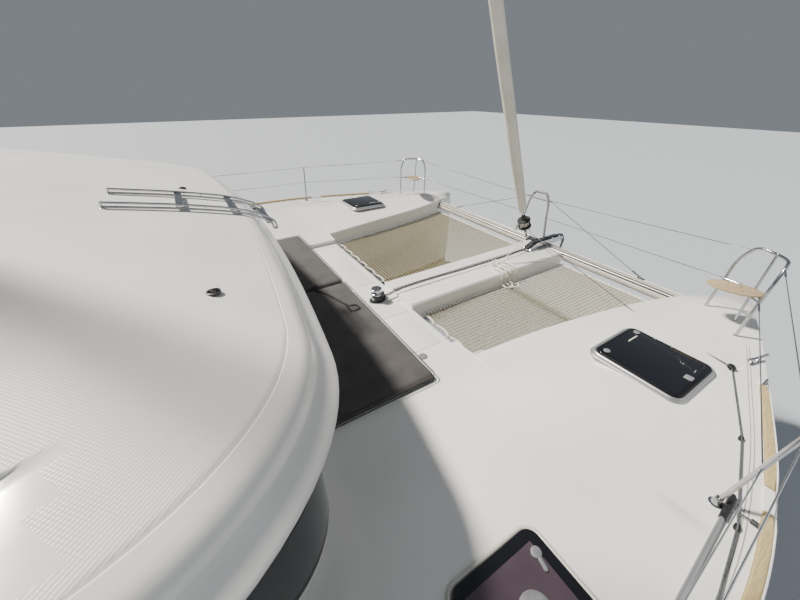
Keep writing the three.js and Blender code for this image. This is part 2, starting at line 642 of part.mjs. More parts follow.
const longeronProfile = [
  [LONGERON.starboard, LONGERON.bottom], [LONGERON.starboard, LONGERON.top - 25],
  [LONGERON.starboard + 25, LONGERON.top], [CHAIN_Y - 75, LONGERON.top], [CHAIN_Y - 60, LONGERON.top - 35],
  [CHAIN_Y + 60, LONGERON.top - 35], [CHAIN_Y + 75, LONGERON.top], [LONGERON.port - 25, LONGERON.top],
  [LONGERON.port, LONGERON.top - 25], [LONGERON.port, LONGERON.bottom],
];
const longeronEnd = BEAM.x - BEAM.halfLength - GAP;
add('longeron', along(longeronProfile, BRIDGE_FRONT + GAP, longeronEnd), 'gelcoat');

// Nets: inboard edge y; the outboard edge follows the hull.
function netOutline(innerY, side) {
  const front = BEAM.x - BEAM.halfLength - 4;
  const stations = HULL_SECTIONS.filter(([x]) => x > BRIDGE_FRONT + 1 && x < front);
  const outer = stations.map(([x, , inner]) => [x + 2, side * (inner - GAP)]);
  const [, , lastInner] = sectionAt(front);
  return [[BRIDGE_FRONT + 4, innerY], ...outer, [front, side * (lastInner - GAP)], [front, innerY]];
}

const nets = [['net_port', LONGERON.port + GAP, 1], ['net_starboard', LONGERON.starboard - GAP, -1]];
for (const [name, innerY, side] of nets) {
  add(name, plate(netOutline(innerY, side), NET_Z, NET_Z + NET_THICK), 'netting');
}

// Forestay: furler drum on the crossbeam, and the rolled genoa up to the mast.
const TACK = [BEAM.x - 10, 0, BEAM.z + 60];
const HEAD = [MAST.x + 60, 0, HOUNDS_Z];
const stayLength = vector(HEAD).distanceTo(vector(TACK));
const onStay = (distance) => TACK.map((value, i) => mix(value, HEAD[i], distance / stayLength));
const crossbeamUp = move(crossbeam, 0, 0, GAP);

// Turned about the stay: radius, distance from the tack.
const DRUM = [
  [0, 0], [18, 0], [18, 215], [105, 215], [105, 230], [62, 230], [62, 330], [105, 330], [105, 345],
  [18, 345], [18, 520], [0, 520],
];
const drumShape = new THREE.LatheGeometry(DRUM.map(([radius, distance]) => new THREE.Vector2(radius, distance)), 20);
const stayDirection = vector(HEAD).sub(vector(TACK)).normalize();
drumShape.applyQuaternion(new THREE.Quaternion().setFromUnitVectors(new THREE.Vector3(0, 1, 0), stayDirection));
const drum = solid(drumShape.translate(...TACK));
add('furler_drum', drum.subtract(crossbeamUp), 'galvanised');

const genoa = union([
  rod(onStay(520 + GAP), onStay(1400), 60, 80, 16),
  rod(onStay(1400), onStay(9000), 80, 66, 16),
  rod(onStay(9000), onStay(14700), 66, 30, 16),
  rod(onStay(14600), onStay(stayLength), 12, 12, 8),
]);
add('furled_genoa', genoa.subtract(move(mast, GAP, 0, 0)).subtract(mast), 'sailcloth');

// Striker: an arched strut on the crossbeam that spreads its stay.
function makeStriker() {
  const arch = [
    [5925, -300, BEAM.z + 50], [5985, -215, 2060], [6010, -165, 2330], [6015, -110, 2415], [6015, 0, 2430],
    [6015, 110, 2415], [6010, 165, 2330], [5985, 215, 2060], [5925, 300, BEAM.z + 50],
  ];
  const bar = rod([6010, -160, 2330], [6010, 160, 2330], 14);
  const beams = [crossbeam, crossbeamUp, move(crossbeam, GAP, 0, 0)];
  return beams.reduce((rest, beam) => rest.subtract(beam), bentTube(arch, 20, 36).add(bar));
}

add('striker', makeStriker(), 'stainless');

// Ground tackle: windlass, bow roller and anchor.
const WINDLASS = { x: 2740, y: -390 };

function makeWindlass() {
  const at = (z) => [WINDLASS.x, WINDLASS.y, z];
  const base = box([WINDLASS.x - 95, WINDLASS.x + 125], [WINDLASS.y - 80, WINDLASS.y + 80], [LOCKER_Z + GAP, LOCKER_Z + 22]);
  return union([
    base,
    rod(at(LOCKER_Z + 20), at(LOCKER_Z + 62), 72, 60, 20),
    rod(at(LOCKER_Z + 60), at(LOCKER_Z + 110), 44, 44, 20),
    rod(at(LOCKER_Z + 108), at(LOCKER_Z + 155), 74, 58, 20),
    rod(at(LOCKER_Z + 154), at(LOCKER_Z + 182), 30, 24, 16),
  ]);
}

add('windlass', makeWindlass(), 'stainless');

const rollerFloor = BEAM.z + BEAM.halfHeight + 1;
const bowRoller = union([
  box([5380, 6120], [CHAIN_Y - 55, CHAIN_Y + 55], [rollerFloor, rollerFloor + 6]),
  box([5380, 6190], [CHAIN_Y - 61, CHAIN_Y - 54], [rollerFloor, rollerFloor + 90]),
  box([5380, 6190], [CHAIN_Y + 54, CHAIN_Y + 61], [rollerFloor, rollerFloor + 90]),
  box([5380, 5740], [CHAIN_Y - 95, CHAIN_Y + 95], [LONGERON.top + GAP, rollerFloor + 1]),
  rod([6150, CHAIN_Y - 58, rollerFloor + 40], [6150, CHAIN_Y + 58, rollerFloor + 40], 34, 34, 14),
]);
add('bow_roller', bowRoller, 'stainless');

// The anchor lies on the roller: a curved shank, and a plough blade below its nose.
function makeAnchor() {
  const rest = rollerFloor + 40 + 34 + GAP;
  const shank = [[5480, 8], [6170, 8], [6250, -20], [6330, -120], [6290, -322], [6255, -318], [6280, -130], [6225, -35]];
  const lower = [[6160, 0], [5480, 0]];
  const outline = [...shank, ...lower].map(([x, z]) => [x, z + rest + (z >= -1 ? 28 : 0)]);
  outline[outline.length - 1][1] = rest;
  outline[outline.length - 2][1] = rest;
  const arm = across(outline, CHAIN_Y - 11, CHAIN_Y + 11);
  const bladeOutline = [[6380, 0], [6300, -130], [6080, -170], [6040, 0], [6080, 170], [6300, 130]];
  const blade = plate(bladeOutline.map(([x, y]) => [x, y + CHAIN_Y]), 1500, 1516);
  return arm.add(blade);
}

add('anchor', makeAnchor(), 'galvanised');

// Pulpits with their seats.
function makePulpit(grow = 0) {
  const outerFoot = [5480, 2910, 1780];
  const hoop = [
    [5580, 2630, 1780], [5590, 2650, 2150], [5598, 2690, 2480], [5592, 2740, 2560], [5530, 2900, 2572],
    [5440, 2985, 2572], [5310, 3020, 2560], [5250, 3022, 2480], [5205, 3015, 2150], [5190, 3010, 1780],
  ];
  const middle = [[5588, 2645, 2200], [5500, 2900, 2205], [5400, 2970, 2205], [5210, 3016, 2200]];
  return seated(union([
    bentTube(hoop, 14 + grow, 40),
    bentTube(middle, 11 + grow, 16),
    rod(outerFoot, [5530, 2900, 2572], 12 + grow),
    rod([5588, 2650, 2200], [5300, 2990, 2200], 10 + grow),
  ]), [hullPort]);
}

const pulpit = makePulpit();
add('pulpit_port', pulpit, 'stainless');
add('pulpit_starboard', mirrored(pulpit), 'stainless');

const seatOutline = ellipse(130, 215, 20).map(([x, y]) => {
  const turn = -0.35;
  return [5385 + x * Math.cos(turn) - y * Math.sin(turn), 2790 + x * Math.sin(turn) + y * Math.cos(turn)];
});
const pulpitSeat = plate(seatOutline, 2205, 2224).subtract(makePulpit(GAP));
add('pulpit_seat_port', pulpitSeat, 'teak');
add('pulpit_seat_starboard', mirrored(pulpitSeat), 'teak');

// Toe rail: a strip along the edge of each deck.
const TOE_RAIL = { x: [-4300, -2500, -500, 1200, 2400, 3000, 3700, 4500, 4570], edge: 15, width: 56, height: 26 };

function makeToeRail() {
  const outer = TOE_RAIL.x.map((x) => [x, sectionAt(x)[1] - TOE_RAIL.edge]);
  const inner = outer.map(([x, y]) => [x, y - TOE_RAIL.width]).reverse();
  return seated(plate([...outer, ...inner], SIDE_DECK_Z - 30, SIDE_DECK_Z + TOE_RAIL.height), [hullPort]);
}

const toeRail = makeToeRail();
add('toe_rail_port', toeRail, 'teak');
add('toe_rail_starboard', mirrored(toeRail), 'teak');

// Guard rail: stanchions in from the deck edge, joined by two wires that end at the pulpit.
const STANCHION_X = [-4200, -2450, -700, 1100, 3200];
const STANCHION = { inboard: 255, height: 655, lean: 60, radius: 13, footRadius: 34 };
const WIRES = { shares: [0.55, 0.98], radius: 4, ends: [[5220, 3016, 2215], [5275, 3020, 2545]] };

function makeGuardRail() {
  const posts = STANCHION_X.map((x) => {
    const y = sectionAt(x)[1] - STANCHION.inboard;
    return [[x, y, SIDE_DECK_Z - 20], [x + STANCHION.lean, y + STANCHION.lean, SIDE_DECK_Z + STANCHION.height]];
  });
  const pieces = posts.flatMap(([foot, top]) => [
    rod(foot, top, STANCHION.radius),
    rod(foot, [foot[0], foot[1], SIDE_DECK_Z + 12], STANCHION.footRadius, STANCHION.footRadius, 12),
  ]);
  WIRES.shares.forEach((share, wire) => {
    const knots = posts.map(([foot, top]) => foot.map((value, i) => mix(value, top[i], share)));
    knots.push(WIRES.ends[wire]);
    for (let i = 0; i + 1 < knots.length; i += 1) {
      pieces.push(rod(knots[i], knots[i + 1], WIRES.radius, WIRES.radius, 6));
    }
  });
  return seated(union(pieces), [hullPort]).subtract(makePulpit(GAP));
}

const guardRail = makeGuardRail();
add('guard_rail_port', guardRail, 'stainless');
add('guard_rail_starboard', mirrored(guardRail), 'stainless');

// Drive legs, propellers and rudders.
function makeDriveLeg() {
  const at = (dx, z) => [PROPELLER.x + dx, PROPELLER.y, z];
  const legOutline = ellipse(130, 32, 14).map(([x, y]) => [x + PROPELLER.x + 250, y + PROPELLER.y]);
  const leg = plate(legOutline, PROPELLER.z, 0).subtract(hullPort).subtract(move(hullPort, 0, 0, -GAP));
  return union([leg, rod(at(45, PROPELLER.z), at(400, PROPELLER.z), 55, 40, 14), ball(at(400, PROPELLER.z), 40)]);
}

const driveLeg = makeDriveLeg();
add('drive_leg_port', driveLeg, 'antifouling');
add('drive_leg_starboard', mirrored(driveLeg), 'antifouling');

function makePropeller() {
  const hub = rod([-60, 0, 0], [44.7, 0, 0], 34, 50, 14);
  const pieces = [hub];
  const blades = 3;
  for (let i = 0; i < blades; i += 1) {
    const outline = ellipse(95, 62, 12).map(([reach, width]) => [reach + 120, width]);
    const shape = new THREE.Shape(outline.map(([a, b]) => new THREE.Vector2(a, b)));
    const geometry = new THREE.ExtrudeGeometry(shape, { depth: 8, bevelEnabled: false }).translate(0, 0, -4);
    geometry.rotateX(0.45).rotateY(-Math.PI / 2).rotateX((2 * Math.PI * i) / blades);
    pieces.push(solid(geometry));
  }
  return move(union(pieces), PROPELLER.x, PROPELLER.y, PROPELLER.z);
}

const propeller = makePropeller();
add('propeller_port', propeller, 'bronze');
add('propeller_starboard', mirrored(propeller), 'bronze');

function makeRudder() {
  const ring = (z, front, aft, half) => keelRing(z, front, aft, half)
    .map(([x, y]) => [x + RUDDER.x, y - 15, z]);
  const blade = loft([ring(RUDDER.bottom, 80, -260, 26), ring(RUDDER.top, 120, -330, 38)], acrossZ);
  const radius = RUDDER.stockRadius;
  const foot = [RUDDER.x, RUDDER.y, RUDDER.top - 20];
  return blade.add(rod(foot, [RUDDER.x, RUDDER.y, RUDDER.stockTop], radius, radius, BEARING.sides));
}

const rudder = makeRudder();
add('rudder_port', rudder, 'antifouling');
add('rudder_starboard', mirrored(rudder), 'antifouling');

export default model;
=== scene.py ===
# %% [markdown]
# # A cruising catamaran at rest on the water
# The boat is 12.8 m long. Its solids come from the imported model, in metres: +X forward, +Y port,
# +Z up, with z = 0 at the waterline. Each cell below makes one piece or one finish of it.

import math

import bmesh
import bpy
import numpy as np
from mathutils import Matrix, Vector


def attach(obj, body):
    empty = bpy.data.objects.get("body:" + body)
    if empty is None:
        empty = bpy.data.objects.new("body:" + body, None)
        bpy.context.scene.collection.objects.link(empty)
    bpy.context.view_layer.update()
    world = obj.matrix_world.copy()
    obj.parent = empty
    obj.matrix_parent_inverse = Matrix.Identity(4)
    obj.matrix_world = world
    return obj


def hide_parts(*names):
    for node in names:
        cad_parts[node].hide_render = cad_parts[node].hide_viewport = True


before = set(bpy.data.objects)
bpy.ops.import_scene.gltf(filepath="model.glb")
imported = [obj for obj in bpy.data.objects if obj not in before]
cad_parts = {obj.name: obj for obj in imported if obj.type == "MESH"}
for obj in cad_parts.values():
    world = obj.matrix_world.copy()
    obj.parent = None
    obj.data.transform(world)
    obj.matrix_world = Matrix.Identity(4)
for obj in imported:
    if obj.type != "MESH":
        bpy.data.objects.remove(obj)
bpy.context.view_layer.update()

# %% [markdown]
# ## Camera, floor and light
# The photograph was taken with a very wide lens by someone standing by the starboard edge of the
# cabin roof. The camera below stands in that same place and looks the same way. Its straight-line
# lens shows about 100 degrees across, as near as such a lens comes to the photograph.
# The floor is the water's surface, so the hulls pass through it.

# %% Camera
CAMERA_PLACE = (1.184, -3.425, 3.819)
LOOK_RIGHT = Vector((0.8497, -0.5273, 0.0016))
LOOK_DOWN = Vector((-0.2811, -0.4556, -0.8446))
FOCAL_PIXELS = 330
PHOTO_WIDTH = 800
SENSOR = 36


def add_to_scene(obj):
    bpy.context.scene.collection.objects.link(obj)
    return obj


lens = bpy.data.cameras.new("photo_camera")
lens.sensor_width = SENSOR
lens.lens = FOCAL_PIXELS * SENSOR / PHOTO_WIDTH
lens.clip_start = 0.05
lens.clip_end = 500
camera = add_to_scene(bpy.data.objects.new("photo_camera", lens))
LOOK_AHEAD = LOOK_RIGHT.cross(LOOK_DOWN).normalized()
up = LOOK_AHEAD.cross(LOOK_RIGHT).normalized() * -1
turn = Matrix((LOOK_RIGHT.normalized(), up, -LOOK_AHEAD)).transposed()
camera.matrix_world = Matrix.Translation(CAMERA_PLACE) @ turn.to_4x4()
bpy.context.scene.camera = camera
print("camera looks along", tuple(round(v, 3) for v in -Vector(turn.col[2])))

# %% Lights and floor
SUN_DIRECTION = Vector((0.42, -0.5, -0.76))
FLOOR_HALF = 60


def linear(colour):
    """An sRGB hex colour as linear red, green, blue and alpha."""
    parts = [int(colour[i : i + 2], 16) / 255 for i in (1, 3, 5)]
    return (*[p / 12.92 if p <= 0.04045 else ((p + 0.055) / 1.055) ** 2.4 for p in parts], 1)


def add_node(tree, kind, inputs=None, **settings):
    """Adds a node with its settings; an input is given a value, or another node's output."""
    node = tree.nodes.new(kind)
    for key, value in settings.items():
        setattr(node, key, value)
    for key, value in (inputs or {}).items():
        if isinstance(value, bpy.types.NodeSocket):
            tree.links.new(value, node.inputs[key])
        else:
            node.inputs[key].default_value = value
    return node


world = bpy.data.worlds.new("soft_studio")
world.use_nodes = True
sky = world.node_tree.nodes["Background"]
sky.inputs["Color"].default_value = linear("#DDE6F0")
sky.inputs["Strength"].default_value = 0.28
bpy.context.scene.world = world


def aimed_light(name, kind, energy, direction):
    light = add_to_scene(bpy.data.objects.new(name, bpy.data.lights.new(name, kind)))
    light.data.energy = energy
    light.rotation_mode = "QUATERNION"
    light.rotation_quaternion = direction.to_track_quat("-Z", "Y")
    return light


key_light = aimed_light("key_light", "SUN", 8.2, SUN_DIRECTION)
key_light.data.angle = math.radians(6)
key_light.data.color = linear("#FFF8EE")[:3]
fill_light = aimed_light("fill_light", "AREA", 340, Vector((-12, 14, -10)))
fill_light.location = (12, -14, 11)
fill_light.data.shape = "RECTANGLE"
fill_light.data.size = 14
fill_light.data.size_y = 8

floor_mesh = bpy.data.meshes.new("water_level")
corners = [(x * FLOOR_HALF, y * FLOOR_HALF, 0) for x, y in ((-1, -1), (1, -1), (1, 1), (-1, 1))]
floor_mesh.from_pydata(corners, [], [(0, 1, 2, 3)])
floor_paint = bpy.data.materials.new("pale_floor")
floor_paint.use_nodes = True
floor_shader = floor_paint.node_tree.nodes["Principled BSDF"]
floor_shader.inputs["Base Color"].default_value = linear("#AEB4BB")
floor_shader.inputs["Roughness"].default_value = 0.7
floor_mesh.materials.append(floor_paint)
add_to_scene(bpy.data.objects.new("water_level", floor_mesh))
print("floor and lights made")

# %% [markdown]
# ## Finishes
# Most of a cruising boat is gelcoat: a pigmented polyester skin sprayed into a polished mould. It is
# glossy and smooth, but long waves in it catch the light. Every other moulded, cast or painted
# surface is made by the same recipe with its own numbers: two near colours in soft patches, and a
# fine bump. Pattern sizes are given in millimetres.

# %% A recipe for moulded, cast and painted surfaces
MM = 0.001


def place_in(tree):
    return add_node(tree, "ShaderNodeTexCoord").outputs["Object"]


def coloured(tree, pattern, *stops):
    """Gives the surface the colours of a pattern; a stop is a position and a colour."""
    ramp = add_node(tree, "ShaderNodeValToRGB", {"Fac": pattern.outputs["Fac"]})
    for element, (position, colour) in zip(ramp.color_ramp.elements, stops):
        element.position = position
        element.color = linear(colour)
    tree.links.new(ramp.outputs["Color"], tree.nodes["Principled BSDF"].inputs["Base Color"])


def bumped(tree, height, depth, strength=1.0):
    """Gives the surface a bump of that depth, in millimetres."""
    bump = add_node(tree, "ShaderNodeBump", {"Height": height, "Distance": depth * MM, "Strength": strength})
    tree.links.new(bump.outputs["Normal"], tree.nodes["Principled BSDF"].inputs["Normal"])


def finish(name, light, dark, patch, grain, depth, roughness, metallic=0.0, **sockets):
    """patch and grain are sizes and depth the bump's height, all in millimetres."""
    material = bpy.data.materials.new(name)
    material.use_nodes = True
    tree = material.node_tree
    shader = tree.nodes["Principled BSDF"]
    for key, value in {"Metallic": metallic, "Roughness": roughness, **sockets}.items():
        shader.inputs[key.replace("_", " ")].default_value = value
    place = place_in(tree)
    patches = add_node(
        tree, "ShaderNodeTexNoise", {"Vector": place, "Scale": 1 / (patch * MM), "Detail": 3.0}
    )
    coloured(tree, patches, (0.32, dark), (0.68, light))
    fine = add_node(tree, "ShaderNodeTexNoise", {"Vector": place, "Scale": 1 / (grain * MM), "Detail": 2.0})
    bumped(tree, fine.outputs["Fac"], depth)
    return material


# Polished polyester gelcoat: off-white, glossy, with a slight wave from the mould.
POLISH = {"Coat_Weight": 0.25, "Coat_Roughness": 0.08}
gelcoat = finish("polished_gelcoat", "#EFEEEB", "#E6E4E0", 700, 60, 0.12, 0.24, **POLISH)
# Moulded plastic of blocks, grips and drums: black, slightly worn to grey.
black_plastic = finish("black_acetal", "#26272A", "#17181A", 60, 4, 0.15, 0.45)
# Anodised and lacquered spars: pale satin silver.
anodised = finish("anodised_aluminium", "#C9CACB", "#BCBDBF", 300, 3, 0.02, 0.36, 0.85)
# White-lacquered aluminium of the crossbeam.
lacquered = finish("lacquered_aluminium", "#E3E0D9", "#D3CFC6", 250, 5, 0.05, 0.35, 0.1)
# Polished marine stainless tube and castings.
stainless = finish("polished_stainless", "#C6C8CB", "#B6B9BD", 90, 6, 0.01, 0.16, 1.0)
# Hot-dipped zinc on chain and anchor: mottled dull grey, darkened further with painted shade of the channel
# the chain lies in.
galvanised = finish("galvanised_steel_with_painted_shade", "#6F7376", "#494D50", 18, 5, 0.25, 0.55, 0.5)
# Manganese bronze of the propellers, dulled by the sea.
bronze = finish("manganese_bronze", "#A57F49", "#7D5F38", 70, 6, 0.1, 0.42, 1.0)
# Self-polishing antifouling paint: matt blue-black.
antifouling = finish("antifouling_paint", "#343C45", "#262D35", 180, 5, 0.3, 0.85)
# Smoked cast acrylic of hatches and windows.
smoked_acrylic = finish("smoked_acrylic", "#10131A", "#0A0C12", 900, 90, 0.05, 0.06, Coat_Weight=0.6)
# The cabin hatch is seen against the light wood below it, so its acrylic looks brown.
tinted_acrylic = finish("tinted_acrylic", "#4F434B", "#433840", 260, 80, 0.05, 0.1, Coat_Weight=0.5)
# Ceramic print that hides the glue line round an acrylic pane.
black_border = finish("black_border", "#15161B", "#0F1014", 300, 80, 0.02, 0.18)
# Grey moulded knobs, vents and latches.
grey_plastic = finish("grey_nylon", "#85878A", "#717377", 40, 4, 0.1, 0.5)
# High-pressure laminate seat board of the pulpits.
seat_board = finish("seat_laminate", "#B8A583", "#A39070", 120, 3, 0.12, 0.55)
# Black polyester webbing.
webbing = finish("black_webbing", "#1D1D1F", "#131315", 30, 2.5, 0.4, 0.8)
# Laid polyester rope: white, weathered to cream.
rope_white = finish("white_rope", "#F1EEE6", "#DDD7C9", 24, 3, 0.8, 0.85)
# The furling line: polyester with a dark fleck, greyed by the sun.
rope_dark = finish("dark_rope", "#5C5F63", "#3C3F44", 20, 3, 0.6, 0.85)
# Grey lines beside the toe rail: painted shade of two shallow grooves in the side deck.
groove_shade_grey = finish("painted_groove_shade", "#A5A39E", "#93918C", 60, 4, 0.05, 0.5)
# Cord of the nets, drawn beige because white cord would vanish on the pale floor.
net_cord = finish("net_cord", "#AEA482", "#8F8666", 30, 3, 0.5, 0.85)
# Polyester sailcloth, calendered flat, so its threads barely show.
sailcloth = finish("polyester_sailcloth", "#DEDCD2", "#D1CEC2", 300, 9, 0.12, 0.55)
print(len(bpy.data.materials), "finishes so far")

# %% [markdown]
# ## Finishes with a pattern
# A hull is gelcoat above the water and antifouling paint below, with a narrow boot stripe between
# them. The three meet at level lines, so the height of a point decides its colour.
# Decks and the roof have a moulded grip of small domes. The real ones are about 6 mm apart, which is
# too fine for the picture, so they are drawn 14 mm apart.
# Cloth gets two crossed sets of waves for its threads, and teak gets long streaks along the grain.

# %% Hull paint and grip
STRIPE = (0.085, 0.15)
STRIPE_PAINT = "#3B4149"
BOTTOM_PAINT = "#2A3138"
GRIP_PITCH = 14


def maths(tree, operation, *values):
    """What a math node makes of numbers or of other nodes' outputs."""
    return add_node(tree, "ShaderNodeMath", dict(enumerate(values)), operation=operation).outputs[0]


wet_look = {"Coat_Weight": 0.3, "Coat_Roughness": 0.06}
hull_paint = finish("hull_gelcoat", "#EFEEEB", "#E6E4E0", 900, 90, 0.15, 0.2, **wet_look)
tree = hull_paint.node_tree
shader = tree.nodes["Principled BSDF"]
height = add_node(tree, "ShaderNodeSeparateXYZ", {"Vector": place_in(tree)}).outputs["Z"]
below = [maths(tree, "LESS_THAN", height, line) for line in STRIPE]
colour = shader.inputs["Base Color"].links[0].from_socket
for mask, paint in ((below[1], STRIPE_PAINT), (below[0], BOTTOM_PAINT)):
    mix = add_node(tree, "ShaderNodeMix", {"Factor": mask}, data_type="RGBA")
    # The colour sockets of this node come after its number and vector sockets of the same names.
    tree.links.new(colour, mix.inputs[6])
    mix.inputs[7].default_value = linear(paint)
    colour = mix.outputs[2]
tree.links.new(colour, shader.inputs["Base Color"])
tree.links.new(maths(tree, "MULTIPLY_ADD", below[0], 0.6, 0.2), shader.inputs["Roughness"])

grip_gelcoat = finish("grip_gelcoat", "#EAE9E6", "#E2E0DC", 500, 4, 0.1, 0.42)
tree = grip_gelcoat.node_tree
axes = add_node(tree, "ShaderNodeSeparateXYZ", {"Vector": place_in(tree)}).outputs
per_metre = math.tau / (GRIP_PITCH * MM)
waves = [maths(tree, "SINE", maths(tree, "MULTIPLY", axes[axis], per_metre)) for axis in "XY"]
bumped(tree, maths(tree, "MULTIPLY", *waves), 0.5, 0.8)

# %% Cloth and teak
THREAD = 5
THREAD_DEPTH = 0.35
# A wave texture of scale 1 repeats every 0.314 m.
THREAD_SCALE = 0.314 / (THREAD * MM)


def woven(name, light, dark, axes, roughness, sheen):
    """Cloth with threads along two of the three axes."""
    material = finish(name, light, dark, 160, 3, 0.1, roughness, Sheen_Weight=sheen)
    tree = material.node_tree
    pattern = {"Vector": place_in(tree), "Scale": THREAD_SCALE}
    waves = [
        add_node(tree, "ShaderNodeTexWave", pattern, bands_direction=axis).outputs["Fac"] for axis in axes
    ]
    bumped(tree, maths(tree, "MAXIMUM", *waves), THREAD_DEPTH)
    return material


# Coated outdoor upholstery in dark grey, 2 mm weave drawn at 5 mm.
cushion_cloth = woven("upholstery_cloth", "#4B4948", "#3F3D3D", "XY", 0.82, 0.15)
# Light interior upholstery of the saloon.
saloon_cloth = woven("saloon_cloth", "#A79F90", "#978F80", "XY", 0.85, 0.2)
# Acrylic canvas of the sail bag, charcoal.
canvas = woven("acrylic_canvas", "#34363B", "#27292D", "XZ", 0.85, 0.2)

teak = finish("weathered_teak", "#BBA97C", "#A69466", 260, 3, 0.15, 0.75)
tree = teak.node_tree
stretched = add_node(tree, "ShaderNodeMapping", {"Vector": place_in(tree), "Scale": (1.0, 14.0, 14.0)})
streaks = add_node(tree, "ShaderNodeTexNoise", {"Vector": stretched.outputs[0], "Scale": 12.0, "Detail": 5.0})
coloured(tree, streaks, (0.35, "#A39164"), (0.62, "#BCAA7E"))

# The slot that a finish belongs to, unless a piece names another.
SLOTS = {
    "gelcoat": [gelcoat, hull_paint, grip_gelcoat, groove_shade_grey],
    "anodised_spar": [anodised, lacquered, grey_plastic],
    "smoked_glass": [smoked_acrylic, tinted_acrylic, black_border],
    "netting": [rope_white, rope_dark, net_cord],
    "cushion_fabric": [cushion_cloth, saloon_cloth],
    "canvas": [canvas, black_plastic, webbing],
    "stainless": [stainless],
    "galvanised": [galvanised],
    "sailcloth": [sailcloth],
    "teak": [teak],
    "seat_tan": [seat_board],
    "antifouling": [antifouling],
    "bronze": [bronze],
}
SLOT_OF = {material.name: slot for slot, materials in SLOTS.items() for material in materials}
print(len(bpy.data.materials), "finishes in all, in", len(SLOTS), "slots")

# %% [markdown]
# ## Shapes in code
# A part here is a list of points and a list of faces. A few functions make parts: `skin` closes a
# stack of rings, `tube` follows a line, `turned` spins a profile, `slab` gives an outline a
# thickness with rounded edges. `piece` turns a part into an object, and gives it its finish and the
# body it moves with.


# %% Smooth lines and skins
def circle(count):
    """Angles in even steps all round."""
    return [math.tau * i / count for i in range(count)]


def quarter(count):
    """Angles in even steps from zero to a right angle."""
    return [math.pi / 2 * i / count for i in range(count + 1)]


def ramp(at, start, length):
    """Zero up to the start, one beyond the length, and an even rise between."""
    return min(max((at - start) / length, 0), 1)


def through(knots, values, at):
    """Cubic values at the places asked for, through the knots, without corners."""
    knots = np.asarray(knots, float)
    values = np.asarray(values, float)
    slopes = np.gradient(values, knots, axis=0)
    at = np.clip(np.asarray(at, float), knots[0], knots[-1])
    left = np.clip(np.searchsorted(knots, at, side="right") - 1, 0, len(knots) - 2)
    column = (-1,) + (1,) * (values.ndim - 1)
    width = (knots[left + 1] - knots[left]).reshape(column)
    share = (at - knots[left]).reshape(column) / width
    square, cube = share**2, share**3
    return (
        (2 * cube - 3 * square + 1) * values[left]
        + (cube - 2 * square + share) * width * slopes[left]
        + (3 * square - 2 * cube) * values[left + 1]
        + (cube - square) * width * slopes[left + 1]
    )


def smooth_value(table, at):
    """One value, smoothly through a table of (place, value)."""
    return float(through(*zip(*table), [at])[0])


def straight_value(table, at, column=1):
    """One value, straight from row to row of a table."""
    return float(np.interp(at, [row[0] for row in table], [row[column] for row in table]))


def fair(points, step):
    """A smooth line through the points, with one point about every step metres."""
    points = np.asarray(points, float)
    chords = np.linalg.norm(np.diff(points, axis=0), axis=1)
    along = np.concatenate([[0], np.cumsum(chords)])
    count = max(int(math.ceil(along[-1] / step)), len(points)) + 1
    return [tuple(p) for p in through(along, points, np.linspace(0, along[-1], count))]


def joined(*parts):
    points, faces = [], []
    for more_points, more_faces in parts:
        start = len(points)
        points += [tuple(p) for p in more_points]
        faces += [[start + i for i in face] for face in more_faces]
    return points, faces


def port_to_starboard(part):
    points, faces = part
    return [(x, -y, z) for x, y, z in points], [face[::-1] for face in faces]


def placed(part, x, y, z, turn=0.0):
    """A part turned about the vertical by an angle, then moved."""
    cos, sin = math.cos(turn), math.sin(turn)
    return [(x + px * cos - py * sin, y + px * sin + py * cos, z + pz) for px, py, pz in part[0]], part[1]


def skin(rings, closed=True):
    """Joins rings of equally many points, and closes both ends."""
    count = len(rings[0])
    faces = []
    for start in range(0, (len(rings) - 1) * count, count):
        for i in range(count):
            a, b = start + i, start + (i + 1) % count
            faces.append([a, b, b + count, a + count])
    if closed:
        faces.append(list(range(count))[::-1])
        faces.append([(len(rings) - 1) * count + i for i in range(count)])
    return [p for ring in rings for p in ring], faces


def ellipse(wide, deep, sides, x=0.0, y=0.0):
    return [(x + wide * math.cos(t), y + deep * math.sin(t)) for t in circle(sides)]


def round_ring(centre, across, other, radius, sides, squash=1.0):
    """A circle of points in the plane of two directions."""
    return [tuple(centre + across * x + other * y) for x, y in ellipse(radius, radius * squash, sides)]


def ways_along(path):
    """The direction of a line at each of its points."""
    last = len(path) - 1
    return [(path[min(i + 1, last)] - path[max(i - 1, 0)]).normalized() for i in range(last + 1)]


def tube(path, radius, sides=10, squash=1.0):
    """A round bar along a line of points; radius is one number or one for each point."""
    path = [Vector(p) for p in path]
    radii = [radius] * len(path) if isinstance(radius, (int, float)) else list(radius)
    ways = ways_along(path)
    first = Vector((0, 0, 1)) if abs(ways[0].z) < 0.9 else Vector((1, 0, 0))
    across = ways[0].cross(first).normalized()
    rings = []
    for centre, way, reach in zip(path, ways, radii):
        across = (across - way * across.dot(way)).normalized()
        rings.append(round_ring(centre, across, way.cross(across), reach, sides, squash))
    return skin(rings)


def turned(profile, base, way=(0, 0, 1), sides=32):
    """A profile of (radius, height) turned about a line from base along way."""
    way = Vector(way).normalized()
    first = Vector((1, 0, 0)) if abs(way.x) < 0.9 else Vector((0, 1, 0))
    across = way.cross(first).normalized()
    other = way.cross(across)
    return skin([round_ring(Vector(base) + way * up, across, other, radius, sides) for radius, up in profile])


def rod(radius, low, high, base, way=(0, 0, 1), sides=32):
    """A plain round bar between two heights above its base."""
    return turned([(0, low), (radius, low), (radius, high), (0, high)], base, way, sides)


